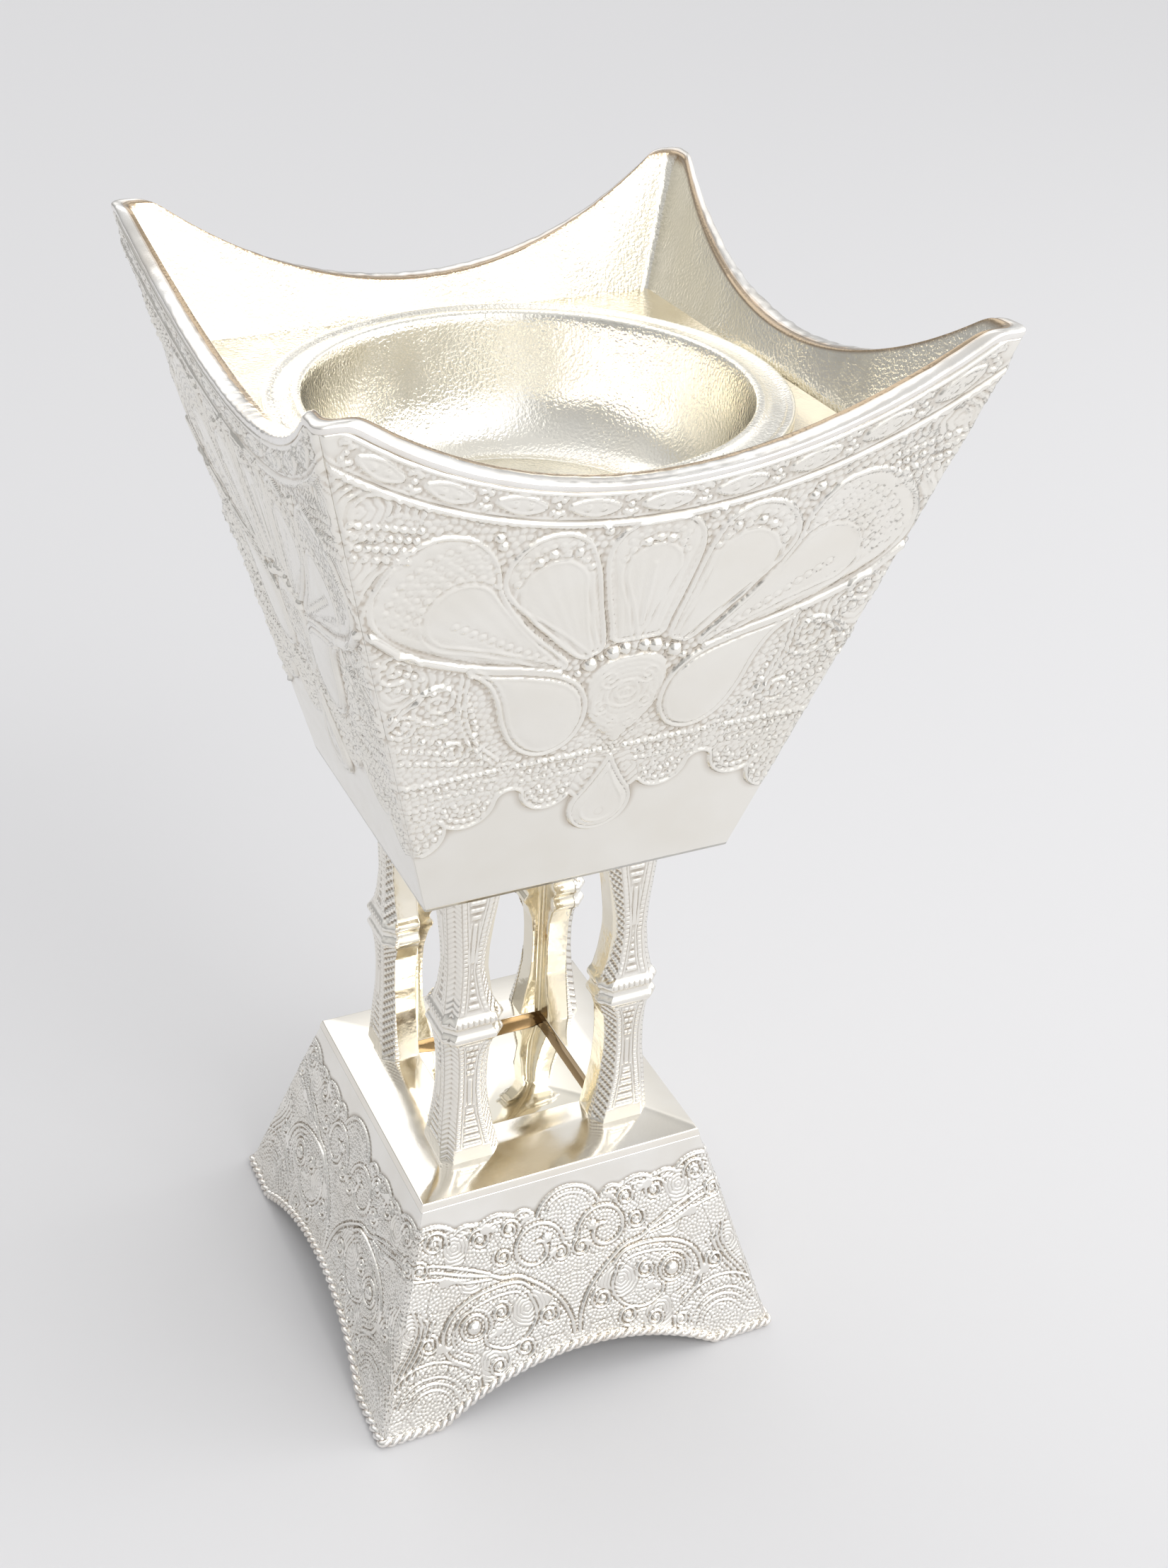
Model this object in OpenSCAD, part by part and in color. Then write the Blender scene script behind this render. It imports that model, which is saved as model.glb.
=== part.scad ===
// Square footed incense burner with a flared four-horned bowl and a
// lift-out charcoal pan. Millimetres, +Z up, origin at the centre of the
// footprint on the surface it stands on. The wide front face looks along -Y.

/* [Base] */
// Half width across the feet at the floor
foot_half = 31; // [29:0.5:33]
// Half width of the base at its top edge
base_top_half = 21.2; // [20:0.2:22.4]
// Height of the base's top edge
base_h = 34.25; // [33:0.25:36]
// Height of the arch in the lower edge of each side
arch_rise = 6.2; // [4:0.2:8]
// Half span of that arch
arch_half = 22; // [20:0.5:24]
// Sheet thickness of the base sides
base_wall = 1.2; // [1:0.1:1.6]
// Depth of the rope trim standing proud of the base sides
trim_out = 0.7; // [0.4:0.1:1]
// Width of the rope trim
trim_w = 1.6; // [1.2:0.1:2]

/* [Deck] */
// Height of the flat of the deck
deck_z = 35.2; // [34.8:0.1:35.4]
// Half width of the flat of the deck, where its edges start to slope
deck_flat_half = 14.4; // [14:0.1:15]
// Half width of the square recess
recess_half = 10.5; // [9.5:0.1:10.6]
// Height of the polished plate in the recess
plate_z = 34.0; // [33.9:0.05:34.2]

/* [Posts] */
// Height where the posts are seated in the deck
post_z0 = 34.7; // [34.6:0.05:34.8]
// Thickness line between the cast post and its backing sheet
post_in = 13.8; // [13.6:0.1:14]
// Free end of the backing sheet
backing_end = 7.3; // [7:0.1:7.8]
// Chamfer along the outer corner of a post
post_chamfer = 1.5; // [1:0.1:2]
// Chamfer along each free end of a post
end_chamfer = 1.5; // [1:0.1:2]

/* [Bowl] */
// Height of the underside of the bowl
bowl_z = 83.5; // [82:0.5:85]
// Half width of the bowl at its underside
bowl_half = 21; // [20:0.2:22]
// Height of the four horns
horn_z = 156; // [150:0.5:160]
// Half width across the horns
horn_half = 39.6; // [38:0.2:41]
// Height of the rim at the middle of each side
rim_z = 144; // [143:0.5:148]
// Sheet thickness of the bowl sides
bowl_wall = 0.8; // [0.6:0.1:1]
// Depth of the hem that caps the rim
hem = 1; // [0.6:0.1:1.6]

/* [Tray and pan] */
// Height of the tray inside the bowl
tray_z = 139.25; // [138:0.25:140]
// Half width of the tray
tray_half = 32.2; // [31:0.1:33]
// Inner radius of the pan at its lip
pan_r = 26.7; // [24:0.1:27]
// Radius of the flat inside the pan
pan_flat_r = 19.5; // [16:0.5:20]
// Depth of the pan below the tray
pan_depth = 15.75; // [12:0.25:16]
// Radius of the pan's flange
flange_r = 31.5; // [30:0.1:31.8]

/* [Hidden] */
$fn = 96;
L = 60;
base_slope = (foot_half - base_top_half) / base_h;
bowl_slope = (horn_half - bowl_half) / (horn_z - bowl_z);
deck_z0 = 33.2;
deck_low_half = base_top_half + base_slope * (base_h - deck_z0);
arch_r = (arch_half * arch_half + arch_rise * arch_rise) / (2 * arch_rise);
liner_in_top = horn_half - bowl_wall - 0.85;
liner_slope = (liner_in_top - tray_half) / (horn_z - tray_z);
rim_half = 36;
rim_r = (rim_half * rim_half + (horn_z - rim_z) * (horn_z - rim_z)) / (2 * (horn_z - rim_z));
liner_z0 = 137.1;
tray_t = 1;
screw_at = 12.4;
screw_r = 1;
pan_t = 0.8;
fz = tray_z + 0.1;

// Outer face of a post at each height: [height, distance from the axis]
post_face = [[34.7, 16.1], [38, 15.8], [42, 15.5], [46, 15.15], [50, 15.05], [53, 15.15],
    [55.6, 15.45], [56.2, 16], [57, 16], [57.4, 15.5], [58.4, 15.5], [58.8, 16], [59.6, 16],
    [60.2, 15.4], [63, 14.9], [67, 14.6], [71, 14.7], [75, 14.95], [79, 15.2], [83.5, 15.6]];
// Free end of a post's leg at each height
post_end = [[34.7, 7], [37, 7.5], [40, 8.1], [43, 8.6], [47, 8.8], [50, 8.75], [53, 8.5],
    [55.6, 7.7], [56.2, 7], [57, 7], [57.4, 7.6], [58.4, 7.6], [58.8, 7], [59.6, 7],
    [60.2, 7.8], [63, 8.5], [67, 9], [70, 8.85], [74, 8.3], [78, 7.6], [83.5, 6.9]];

// A shape in the plane of X and Z, carried along Y
module along_y(len = 2 * L) { rotate([90, 0, 0]) linear_extrude(height = len, center = true) children(); }
// The same shape in the plane of Y and Z, carried along X
module along_x(len = 2 * L) { rotate([0, 0, 90]) along_y(len) children(); }

// Square frustum from half width a at z0 to half width b at z1
module frustum(a, z0, b, z1) {
    intersection() {
        along_y() polygon([[-a, z0], [a, z0], [b, z1], [-b, z1]]);
        along_x() polygon([[-a, z0], [a, z0], [b, z1], [-b, z1]]);
    }
}
// The quarter of space that one side of the object lies in, at turn t
module quarter(t) {
    rotate([0, 0, t]) translate([0, 0, -1]) linear_extrude(height = 160)
        polygon([[0, 0], [-2 * L, -2 * L], [2 * L, -2 * L]]);
}

function foot_at(z) = foot_half - base_slope * z;
function bowl_at(z) = bowl_half + bowl_slope * (z - bowl_z);
function liner_at(z) = tray_half + liner_slope * (z - tray_z);

// ---- base ----
module arch_2d(grow = 0) {
    intersection() {
        translate([0, arch_rise - arch_r]) circle(r = arch_r + grow, $fn = 180);
        translate([-L, -5]) square([2 * L, 5 + arch_rise + grow]);
    }
}
module base_body(out) {
    frustum(foot_half + out, 0, foot_at(deck_z0) + out, deck_z0);
}
module base_panel(t) {
    color([0.86, 0.85, 0.84])
    difference() {
        intersection() { base_body(0); quarter(t); }
        translate([0, 0, -0.01]) frustum(foot_half - base_wall + 0.01 * base_slope, 0,
            foot_at(deck_z0 + 0.02) - base_wall, deck_z0 + 0.02);
        rotate([0, 0, t]) along_y() arch_2d();
    }
}
module trim_2d() {
    difference() {
        union() {
            arch_2d(trim_w);
            translate([-foot_half - 2, 0.3]) square([2 * foot_half + 4, trim_w]);
        }
        arch_2d();
        translate([-L, -10]) square([2 * L, 10.3]);
    }
}
module base_rope_trim() {
    color([0.9, 0.89, 0.87])
    for (t = [0, 90, 180, 270])
        difference() {
            intersection() {
                base_body(trim_out);
                quarter(t);
                rotate([0, 0, t]) along_y() trim_2d();
            }
            base_body(0);
        }
}
module post_plan(grow = 0) {
    difference() {
        translate([post_end[0][1] - grow, post_end[0][1] - grow])
            square(post_face[0][1] - post_end[0][1] + 2 * grow);
        square(recess_half);
        translate([post_face[0][1] + grow, post_face[0][1] + grow]) rotate(45)
            square((post_chamfer - grow) * sqrt(2), center = true);
    }
}
module base_deck() {
    color([0.84, 0.82, 0.78])
    difference() {
        union() {
            frustum(deck_low_half, deck_z0, base_top_half, base_h);
            frustum(base_top_half, base_h, deck_flat_half, deck_z);
        }
        translate([-recess_half, -recess_half, 30]) cube([2 * recess_half, 2 * recess_half, 10]);
        translate([-recess_half - 0.9, -recess_half - 0.9, 30])
            cube([2 * recess_half + 1.8, 2 * recess_half + 1.8, plate_z - 30]);
        for (m = [0, 1], n = [0, 1]) mirror([m, 0, 0]) mirror([0, n, 0]) {
            translate([0, 0, post_z0]) linear_extrude(height = 5) post_plan();
            translate([screw_at, screw_at, 30]) cylinder(r = screw_r + 0.1, h = 8, $fn = 32);
        }
    }
}
module mirror_plate() {
    color([0.93, 0.9, 0.82])
    translate([-recess_half - 0.9, -recess_half - 0.9, deck_z0])
        cube([2 * recess_half + 1.8, 2 * recess_half + 1.8, plate_z - deck_z0]);
}

// ---- posts: drawn for the corner where X and Y are both positive ----
module leg() {
    intersection() {
        along_y() polygon(concat([for (p = post_end) [p[1], p[0]]],
            [for (i = [len(post_face) - 1:-1:0]) [post_face[i][1], post_face[i][0]]]));
        along_x() polygon(concat([for (p = post_face) [p[1], p[0]]],
            [[post_in, bowl_z], [post_in, post_z0]]));
        // chamfer of the free end
        rotate([0, 0, 45]) along_x() polygon(concat(
            [for (i = [0:len(post_face) - 1])
                [(post_face[i][1] - lookup(post_face[i][0], post_end) - end_chamfer) / sqrt(2), post_face[i][0]]],
            [[-L, bowl_z], [-L, post_z0]]));
    }
}
module post(m, n) {
    color([0.85, 0.84, 0.83])
    mirror([m, 0, 0]) mirror([0, n, 0])
    intersection() {
        union() { leg(); mirror([1, -1, 0]) leg(); }
        rotate([0, 0, 45]) along_y() polygon(concat(
            [for (p = post_face) [(2 * p[1] - post_chamfer) / sqrt(2), p[0]]],
            [[0, bowl_z], [0, post_z0]]));
    }
}
module backing(m, n) {
    color([0.87, 0.8, 0.62])
    mirror([m, 0, 0]) mirror([0, n, 0])
    difference() {
        translate([0, 0, post_z0]) linear_extrude(height = bowl_z - post_z0)
            difference() {
                translate([backing_end, backing_end]) square(post_in - backing_end);
                square(recess_half);
            }
        translate([screw_at, screw_at, post_z0 - 1]) cylinder(r = screw_r + 0.05, h = 8, $fn = 32);
        translate([screw_at, screw_at, bowl_z - 7]) cylinder(r = screw_r + 0.05, h = 8, $fn = 32);
    }
}
// A countersunk-style cheese head screw standing on its head
module screw(len) {
    cylinder(r = screw_r, h = len, $fn = 32);
    difference() {
        translate([0, 0, -1.4]) cylinder(r = 1.9, h = 1.4, $fn = 48);
        translate([-0.25, -2.5, -1.5]) cube([0.5, 5, 0.6]);
    }
}
module lower_post_screws() {
    color([0.7, 0.68, 0.62])
    for (x = [-1, 1], y = [-1, 1]) translate([x * screw_at, y * screw_at, deck_z0]) screw(7);
}
module upper_post_screws() {
    color([0.7, 0.68, 0.62])
    for (x = [-1, 1], y = [-1, 1]) translate([x * screw_at, y * screw_at, bowl_z + 1]) rotate([180, 0, 0]) screw(6.5);
}

// ---- bowl ----
module rim_2d(drop = 0) {
    difference() {
        translate([-L, bowl_z - 1]) square([2 * L, horn_z - drop - bowl_z + 1]);
        translate([0, rim_z + rim_r]) circle(r = rim_r + drop, $fn = 180);
    }
}
module below_rim(drop = 0) {
    intersection() { along_y() rim_2d(drop); along_x() rim_2d(drop); }
}
module bowl_floor() {
    color([0.84, 0.83, 0.82])
    difference() {
        frustum(bowl_half, bowl_z, bowl_at(bowl_z + 1), bowl_z + 1);
        for (x = [-1, 1], y = [-1, 1]) translate([x * screw_at, y * screw_at, bowl_z - 1])
            cylinder(r = screw_r + 0.1, h = 4, $fn = 32);
    }
}
module bowl_panel(t) {
    color([0.86, 0.85, 0.84])
    intersection() {
        difference() {
            frustum(bowl_at(bowl_z + 1), bowl_z + 1, horn_half, horn_z);
            frustum(bowl_at(bowl_z + 0.9) - bowl_wall, bowl_z + 0.9, bowl_at(horn_z + 0.1) - bowl_wall, horn_z + 0.1);
        }
        quarter(t);
        rotate([0, 0, t]) along_y() rim_2d(hem);
        translate([-L, -L, 0]) cube([2 * L, 2 * L, horn_z - hem]);
    }
}
module bowl_liner() {
    color([0.92, 0.89, 0.8])
    difference() {
        union() {
            intersection() {
                frustum(liner_at(liner_z0) + 0.9, liner_z0, horn_half - bowl_wall - 0.05, horn_z);
                below_rim();
            }
            difference() {
                intersection() {
                    frustum(bowl_at(120), 120, horn_half, horn_z);
                    below_rim();
                }
                below_rim(hem);
            }
        }
        frustum(liner_at(tray_z - tray_t), tray_z - tray_t, liner_at(horn_z + 0.1), horn_z + 0.1);
        translate([-28.6, -28.6, 100]) cube([57.2, 57.2, 60]);
    }
}
module tray_plate() {
    color([0.93, 0.91, 0.84])
    difference() {
        frustum(liner_at(tray_z - tray_t), tray_z - tray_t, tray_half, tray_z);
        translate([0, 0, 130]) cylinder(r = pan_r + pan_t + 0.45, h = 20);
    }
}
module charcoal_pan() {
    color([0.9, 0.87, 0.78])
    rotate_extrude($fn = 128) polygon([
        [0, tray_z - pan_depth], [pan_flat_r, tray_z - pan_depth], [21.6, tray_z - 14.6], [23.6, tray_z - 12],
        [25.2, tray_z - 8], [26.2, tray_z - 3], [pan_r, fz + 0.9],
        [pan_r + 0.5, fz + 1.4], [pan_r + 1.3, fz + 1.4], [pan_r + 2, fz + 0.9],
        [flange_r - 1.2, fz + 0.8], [flange_r - 0.7, fz + 1.2], [flange_r, fz + 1.1], [flange_r, fz],
        [pan_r + pan_t + 0.1, fz], [pan_r + pan_t - 0.05, fz - 1], [26.95, tray_z - 3.2], [25.95, tray_z - 8.3], [24.3, tray_z - 12.4],
        [22.1, tray_z - 15.3], [pan_flat_r + 0.2, tray_z - pan_depth - pan_t], [0, tray_z - pan_depth - pan_t]]);
}

base_panel(0);  // base_panel_front
base_panel(90);  // base_panel_right
base_panel(180);  // base_panel_back
base_panel(270);  // base_panel_left
base_rope_trim();
base_deck();
mirror_plate();
post(1, 1);  // post_front_left
post(0, 1);  // post_front_right
post(1, 0);  // post_back_left
post(0, 0);  // post_back_right
backing(1, 1);  // backing_front_left
backing(0, 1);  // backing_front_right
backing(1, 0);  // backing_back_left
backing(0, 0);  // backing_back_right
lower_post_screws();
upper_post_screws();
bowl_floor();
bowl_panel(0);  // bowl_panel_front
bowl_panel(90);  // bowl_panel_right
bowl_panel(180);  // bowl_panel_back
bowl_panel(270);  // bowl_panel_left
bowl_liner();
tray_plate();
charcoal_pan();
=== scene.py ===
import bpy, bmesh, math
import numpy as np
from mathutils import Vector, Matrix


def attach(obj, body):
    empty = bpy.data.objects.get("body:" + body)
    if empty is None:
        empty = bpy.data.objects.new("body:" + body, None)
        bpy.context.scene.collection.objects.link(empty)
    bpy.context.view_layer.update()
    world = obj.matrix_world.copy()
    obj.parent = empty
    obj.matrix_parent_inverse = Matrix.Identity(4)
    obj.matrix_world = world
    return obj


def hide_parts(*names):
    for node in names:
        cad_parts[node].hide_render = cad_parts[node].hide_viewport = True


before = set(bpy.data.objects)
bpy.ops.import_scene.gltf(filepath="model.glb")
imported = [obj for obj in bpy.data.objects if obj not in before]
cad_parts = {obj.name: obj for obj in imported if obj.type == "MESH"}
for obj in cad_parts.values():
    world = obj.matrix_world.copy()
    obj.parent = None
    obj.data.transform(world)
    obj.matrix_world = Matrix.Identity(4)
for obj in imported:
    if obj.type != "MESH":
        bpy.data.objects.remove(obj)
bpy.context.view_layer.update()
MM = 0.001
RNG = np.random.RandomState(7)

# ------------------------------------------------------------------ sizes, mm (the CAD model's own)
FOOT, BTOP, BH, DECK0 = 31.0, 21.2, 34.25, 33.2
BS = (FOOT - BTOP) / BH
ARCH_RISE, ARCH_HALF = 6.2, 22.0
ARCH_R = (ARCH_HALF**2 + ARCH_RISE**2) / (2 * ARCH_RISE)
BWZ, BWH, HORNZ, HORNH, RIMZ = 83.5, 21.0, 156.0, 39.6, 144.0
WS = (HORNH - BWH) / (HORNZ - BWZ)
RIM_R = (36.0**2 + (HORNZ - RIMZ)**2) / (2 * (HORNZ - RIMZ))
RIM_C = RIMZ + RIM_R
TRAYZ, TRAYH = 139.25, 32.2
LIN_TOP = HORNH - 0.8 - 0.85
LS = (LIN_TOP - TRAYH) / (HORNZ - TRAYZ)
foot_at = lambda z: FOOT - BS * z
bowl_at = lambda z: BWH + WS * (z - BWZ)
liner_at = lambda z: TRAYH + LS * (z - TRAYZ)


def rim_z(x):
    """Height of the rim at distance x along a side: the arc, rounded into the flat horn tips."""
    x = np.abs(x)
    a = RIM_C - np.sqrt(np.maximum(RIM_R**2 - x**2, 1.0)) - HORNZ
    k = 0.3
    return HORNZ + 0.02 - k * np.log(np.exp(-a / k) + 1)


def arch_z(x):
    x = np.abs(x)
    a = ARCH_RISE - (ARCH_R - np.sqrt(np.maximum(ARCH_R**2 - x**2, 0)))
    return np.maximum(a, 0.0)


# ------------------------------------------------------------------ drawing relief on a fine grid
class Canvas:
    def __init__(s, x0, x1, z0, z1, p):
        s.x0, s.z0, s.p = x0, z0, p
        s.nx, s.nz = int((x1 - x0) / p) + 1, int((z1 - z0) / p) + 1
        s.H = np.zeros((s.nz, s.nx), np.float32)
        s.X = x0 + np.arange(s.nx) * p
        s.Z = z0 + np.arange(s.nz) * p

    def _stamp(s, pts, r):
        """Squared distance to the nearest of pts, inf beyond r, with its window."""
        P = np.asarray(pts, np.float32)
        cx, cz = (P[:, 0] - s.x0) / s.p, (P[:, 1] - s.z0) / s.p
        n = int(math.ceil(r / s.p)) + 1
        o = np.arange(-n, n + 1)
        ix = np.round(cx).astype(int)[:, None, None] + o[None, None, :]
        iz = np.round(cz).astype(int)[:, None, None] + o[None, :, None]
        ix, iz = np.broadcast_arrays(ix, iz)
        d = ((ix - cx[:, None, None])**2 + (iz - cz[:, None, None])**2) * s.p * s.p
        ok = (ix >= 0) & (ix < s.nx) & (iz >= 0) & (iz < s.nz) & (d <= r * r)
        if not ok.any():
            return None
        ix, iz, d = ix[ok], iz[ok], d[ok]
        a, b, c, e = ix.min(), ix.max() + 1, iz.min(), iz.max() + 1
        w = np.full((e - c, b - a), np.inf, np.float32)
        np.minimum.at(w, (iz - c, ix - a), d)
        return w, slice(c, e), slice(a, b)

    def ridge(s, pts, w=0.3, a=0.25, power=0.5, base=None):
        """A raised line; base smooths what lies under it to that height first."""
        q = resample(pts, s.p * 0.7)
        if base is not None:
            r = s._stamp(q, w * 1.5)
            if r is not None:
                d, sz, sx = r
                k = np.clip(1.5 - np.sqrt(np.where(np.isfinite(d), d, 9e9)) / w, 0, 1)
                s.H[sz, sx] = s.H[sz, sx] * (1 - k) + base * k
        r = s._stamp(q, w)
        if r is None:
            return
        d, sz, sx = r
        h = a * np.maximum(0, 1 - d / (w * w))**power
        s.H[sz, sx] += np.where(np.isfinite(d), h, 0)

    def beads(s, pts, r=0.35, a=0.3, ring=True):
        P = np.asarray(pts, float).reshape(-1, 2)
        t = s._stamp(P, r * 1.5)
        if t is None:
            return
        d, sz, sx = t
        d = np.sqrt(np.where(np.isfinite(d), d, 9e9)) / r
        dome = a * np.sqrt(np.maximum(0, 1 - d * d))
        s.H[sz, sx] = np.where(d < 1, np.maximum(s.H[sz, sx] * 0.4 + dome, s.H[sz, sx]), s.H[sz, sx])
        if ring:
            s.H[sz, sx] -= 0.22 * a * np.exp(-((d - 1.15) / 0.16)**2)

    def window(s, pts, pad=0.0):
        P = np.asarray(pts, float)
        a = max(0, int((P[:, 0].min() - pad - s.x0) / s.p)); b = min(s.nx, int((P[:, 0].max() + pad - s.x0) / s.p) + 2)
        c = max(0, int((P[:, 1].min() - pad - s.z0) / s.p)); e = min(s.nz, int((P[:, 1].max() + pad - s.z0) / s.p) + 2)
        return slice(c, e), slice(a, b)

    def inside(s, pts, sz, sx):
        P = np.asarray(pts, float)
        X, Z = np.meshgrid(s.X[sx], s.Z[sz])
        m = np.zeros(X.shape, bool)
        for (x1, y1), (x2, y2) in zip(P, np.roll(P, -1, 0)):
            if y1 == y2:
                continue
            c = ((y1 > Z) != (y2 > Z)) & (X < (x2 - x1) * (Z - y1) / (y2 - y1) + x1)
            m ^= c
        return m

    def plateau(s, pts, a=0.3, edge=0.6, set_to=None, keep=0.0):
        """Raises the inside of a closed outline with a rounded edge; keep is how much of the relief below stays."""
        sz, sx = s.window(pts, 0.1)
        if sz.stop <= sz.start or sx.stop <= sx.start:
            return
        m = s.inside(pts, sz, sx)
        t = s._stamp(resample(list(pts) + [pts[0]], s.p * 0.7), edge)
        d = np.full(s.H.shape, np.inf, np.float32)
        if t is not None:
            d[t[1], t[2]] = t[0]
        d = np.sqrt(d[sz, sx])
        k = np.clip(np.where(np.isfinite(d), d, edge) / edge, 0, 1)
        k = np.sqrt(1 - (1 - k)**2)
        h = s.H[sz, sx]
        s.H[sz, sx] = np.where(m, h * (keep + (1 - keep) * (1 - k)) + a * k, h)

    def texture(s, mask, fn):
        X, Z = np.meshgrid(s.X, s.Z)
        s.H += np.where(mask, fn(X, Z), 0).astype(np.float32)

    def poly_mask(s, pts):
        m = np.zeros(s.H.shape, bool)
        sz, sx = s.window(pts, 0.1)
        m[sz, sx] = s.inside(pts, sz, sx)
        return m

    def sample(s, x, z):
        fx = np.clip((x - s.x0) / s.p, 0, s.nx - 1.001); fz = np.clip((z - s.z0) / s.p, 0, s.nz - 1.001)
        i, j = fx.astype(int), fz.astype(int); u, v = fx - i, fz - j
        H = s.H
        return H[j, i] * (1 - u) * (1 - v) + H[j, i + 1] * u * (1 - v) + H[j + 1, i] * (1 - u) * v + H[j + 1, i + 1] * u * v


def resample(pts, step):
    P = np.asarray(pts, float)
    d = np.hypot(*np.diff(P, axis=0).T)
    t = np.r_[0, np.cumsum(d)]
    n = max(2, int(t[-1] / step) + 1)
    q = np.linspace(0, t[-1], n)
    return np.c_[np.interp(q, t, P[:, 0]), np.interp(q, t, P[:, 1])]


def spline(pts, closed=False, n=10):
    P = np.asarray(pts, float)
    if closed:
        Q = np.r_[P[-1:], P, P[:2]]
    else:
        Q = np.r_[2 * P[:1] - P[1:2], P, 2 * P[-1:] - P[-2:-1]]
    out = []
    for i in range(1, len(Q) - 2):
        a, b, c, d = Q[i - 1], Q[i], Q[i + 1], Q[i + 2]
        t = np.linspace(0, 1, n, endpoint=False)[:, None]
        out.append(0.5 * ((2 * b) + (-a + c) * t + (2 * a - 5 * b + 4 * c - d) * t**2 + (-a + 3 * b - 3 * c + d) * t**3))
    if not closed:
        out.append(Q[-2:-1])
    return np.vstack(out)


def arc(cx, cz, r, a0, a1, n=40):
    t = np.radians(np.linspace(a0, a1, n))
    return np.c_[cx + r * np.cos(t), cz + r * np.sin(t)]


def spiral(cx, cz, r0, r1, a0, turns, n=90, flip=1):
    t = np.linspace(0, 1, n)
    a = np.radians(a0) + flip * t * turns * 2 * np.pi
    r = r0 + (r1 - r0) * t
    return np.c_[cx + r * np.cos(a), cz + r * np.sin(a)]


def tear(cx, cz, r, tx, tz, n=30):
    """A teardrop: a round end about (cx, cz) and a tip."""
    dx, dz = tx - cx, tz - cz
    L = math.hypot(dx, dz)
    a = math.atan2(dz, dx)
    b = math.acos(min(0.98, r / L))
    t = np.linspace(a + b, a + 2 * np.pi - b, n)
    c = np.c_[cx + r * np.cos(t), cz + r * np.sin(t)]
    tip = np.array([tx, tz])
    def side(p, q, s):
        u = np.linspace(0, 1, 9)[1:-1, None]
        m = (p + q) / 2 + np.array([-(q - p)[1], (q - p)[0]]) * s
        return (1 - u)**2 * p + 2 * u * (1 - u) * m + u**2 * q
    return np.vstack([c, side(c[-1], tip, 0.05), tip[None], side(tip, c[0], 0.05)])


def dots_along(pts, pitch):
    return resample(pts, pitch)


def offset_curve(pts, d):
    P = np.asarray(pts, float)
    t = np.gradient(P, axis=0)
    n = np.c_[-t[:, 1], t[:, 0]] / np.maximum(np.hypot(t[:, 0], t[:, 1]), 1e-6)[:, None]
    return P + n * d


def scatter(mask_fn, box, pitch, jitter, seed):
    """Points on a jittered hexagonal grid where mask_fn is true."""
    r = np.random.RandomState(seed)
    x0, x1, z0, z1 = box
    out = []
    for j, z in enumerate(np.arange(z0, z1, pitch * 0.866)):
        xs = np.arange(x0 + (j % 2) * pitch / 2, x1, pitch)
        out.append(np.c_[xs, np.full(len(xs), z)])
    P = np.vstack(out)
    P += r.uniform(-jitter, jitter, P.shape)
    return P[mask_fn(P[:, 0], P[:, 1])]


def filigree(c, mask, seeds, pitch, a, seed, lines=(), step=None):
    """Chased ground: rings of pebbles round each seed (x, z, size), split by creases where two fields meet."""
    r = np.random.RandomState(seed)
    step = step or pitch
    X, Z = np.meshgrid(c.X, c.Z)
    X = X.astype(np.float32); Z = Z.astype(np.float32)
    best = np.full(X.shape, 1e9, np.float32); nxt = best.copy(); who = np.zeros(X.shape, int); dist = best.copy()
    for i, (sx, sz, sr) in enumerate(seeds):
        d = np.hypot(X - sx, Z - sz)
        w = d - sr
        closer = w < best
        nxt = np.where(closer, best, np.minimum(nxt, w))
        dist = np.where(closer, d, dist); who = np.where(closer, i, who); best = np.where(closer, w, best)
    S = np.array([(q[0], q[1]) for q in seeds])
    ang = np.arctan2(Z - S[who, 1], X - S[who, 0])
    wob = 0.10 * np.sin(ang * 5 + who) + 0.08 * np.sin(ang * 9 + 2 * who)
    k = dist / pitch + wob * 0.8
    ki = np.floor(k).astype(int); kf = k - ki
    ki = np.clip(ki, 0, 60)
    off = r.uniform(0, 1, (len(seeds), 61)); amp = r.uniform(0.7, 1.15, (len(seeds), 61))
    n = np.maximum(1, np.round(2 * np.pi * (ki + 0.5) * pitch / step))
    af = (ang / (2 * np.pi) * n + off[who, ki]) % 1
    cell = np.maximum(0, 1 - np.abs((kf - 0.5) / 0.49)**2.3 - np.abs((af - 0.5) / 0.47)**2.3)**0.55
    ring = np.sqrt(np.maximum(0, 1 - ((kf - 0.5) / 0.40)**2))
    isl = np.isin(who, list(lines))
    h = np.where(isl, ring * 0.85, cell) * amp[who, ki]
    crease = np.clip((nxt - best) / 0.22, 0, 1)
    c.H += np.where(mask, a * h * crease - 0.25 * a * (1 - crease), 0).astype(np.float32)


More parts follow.
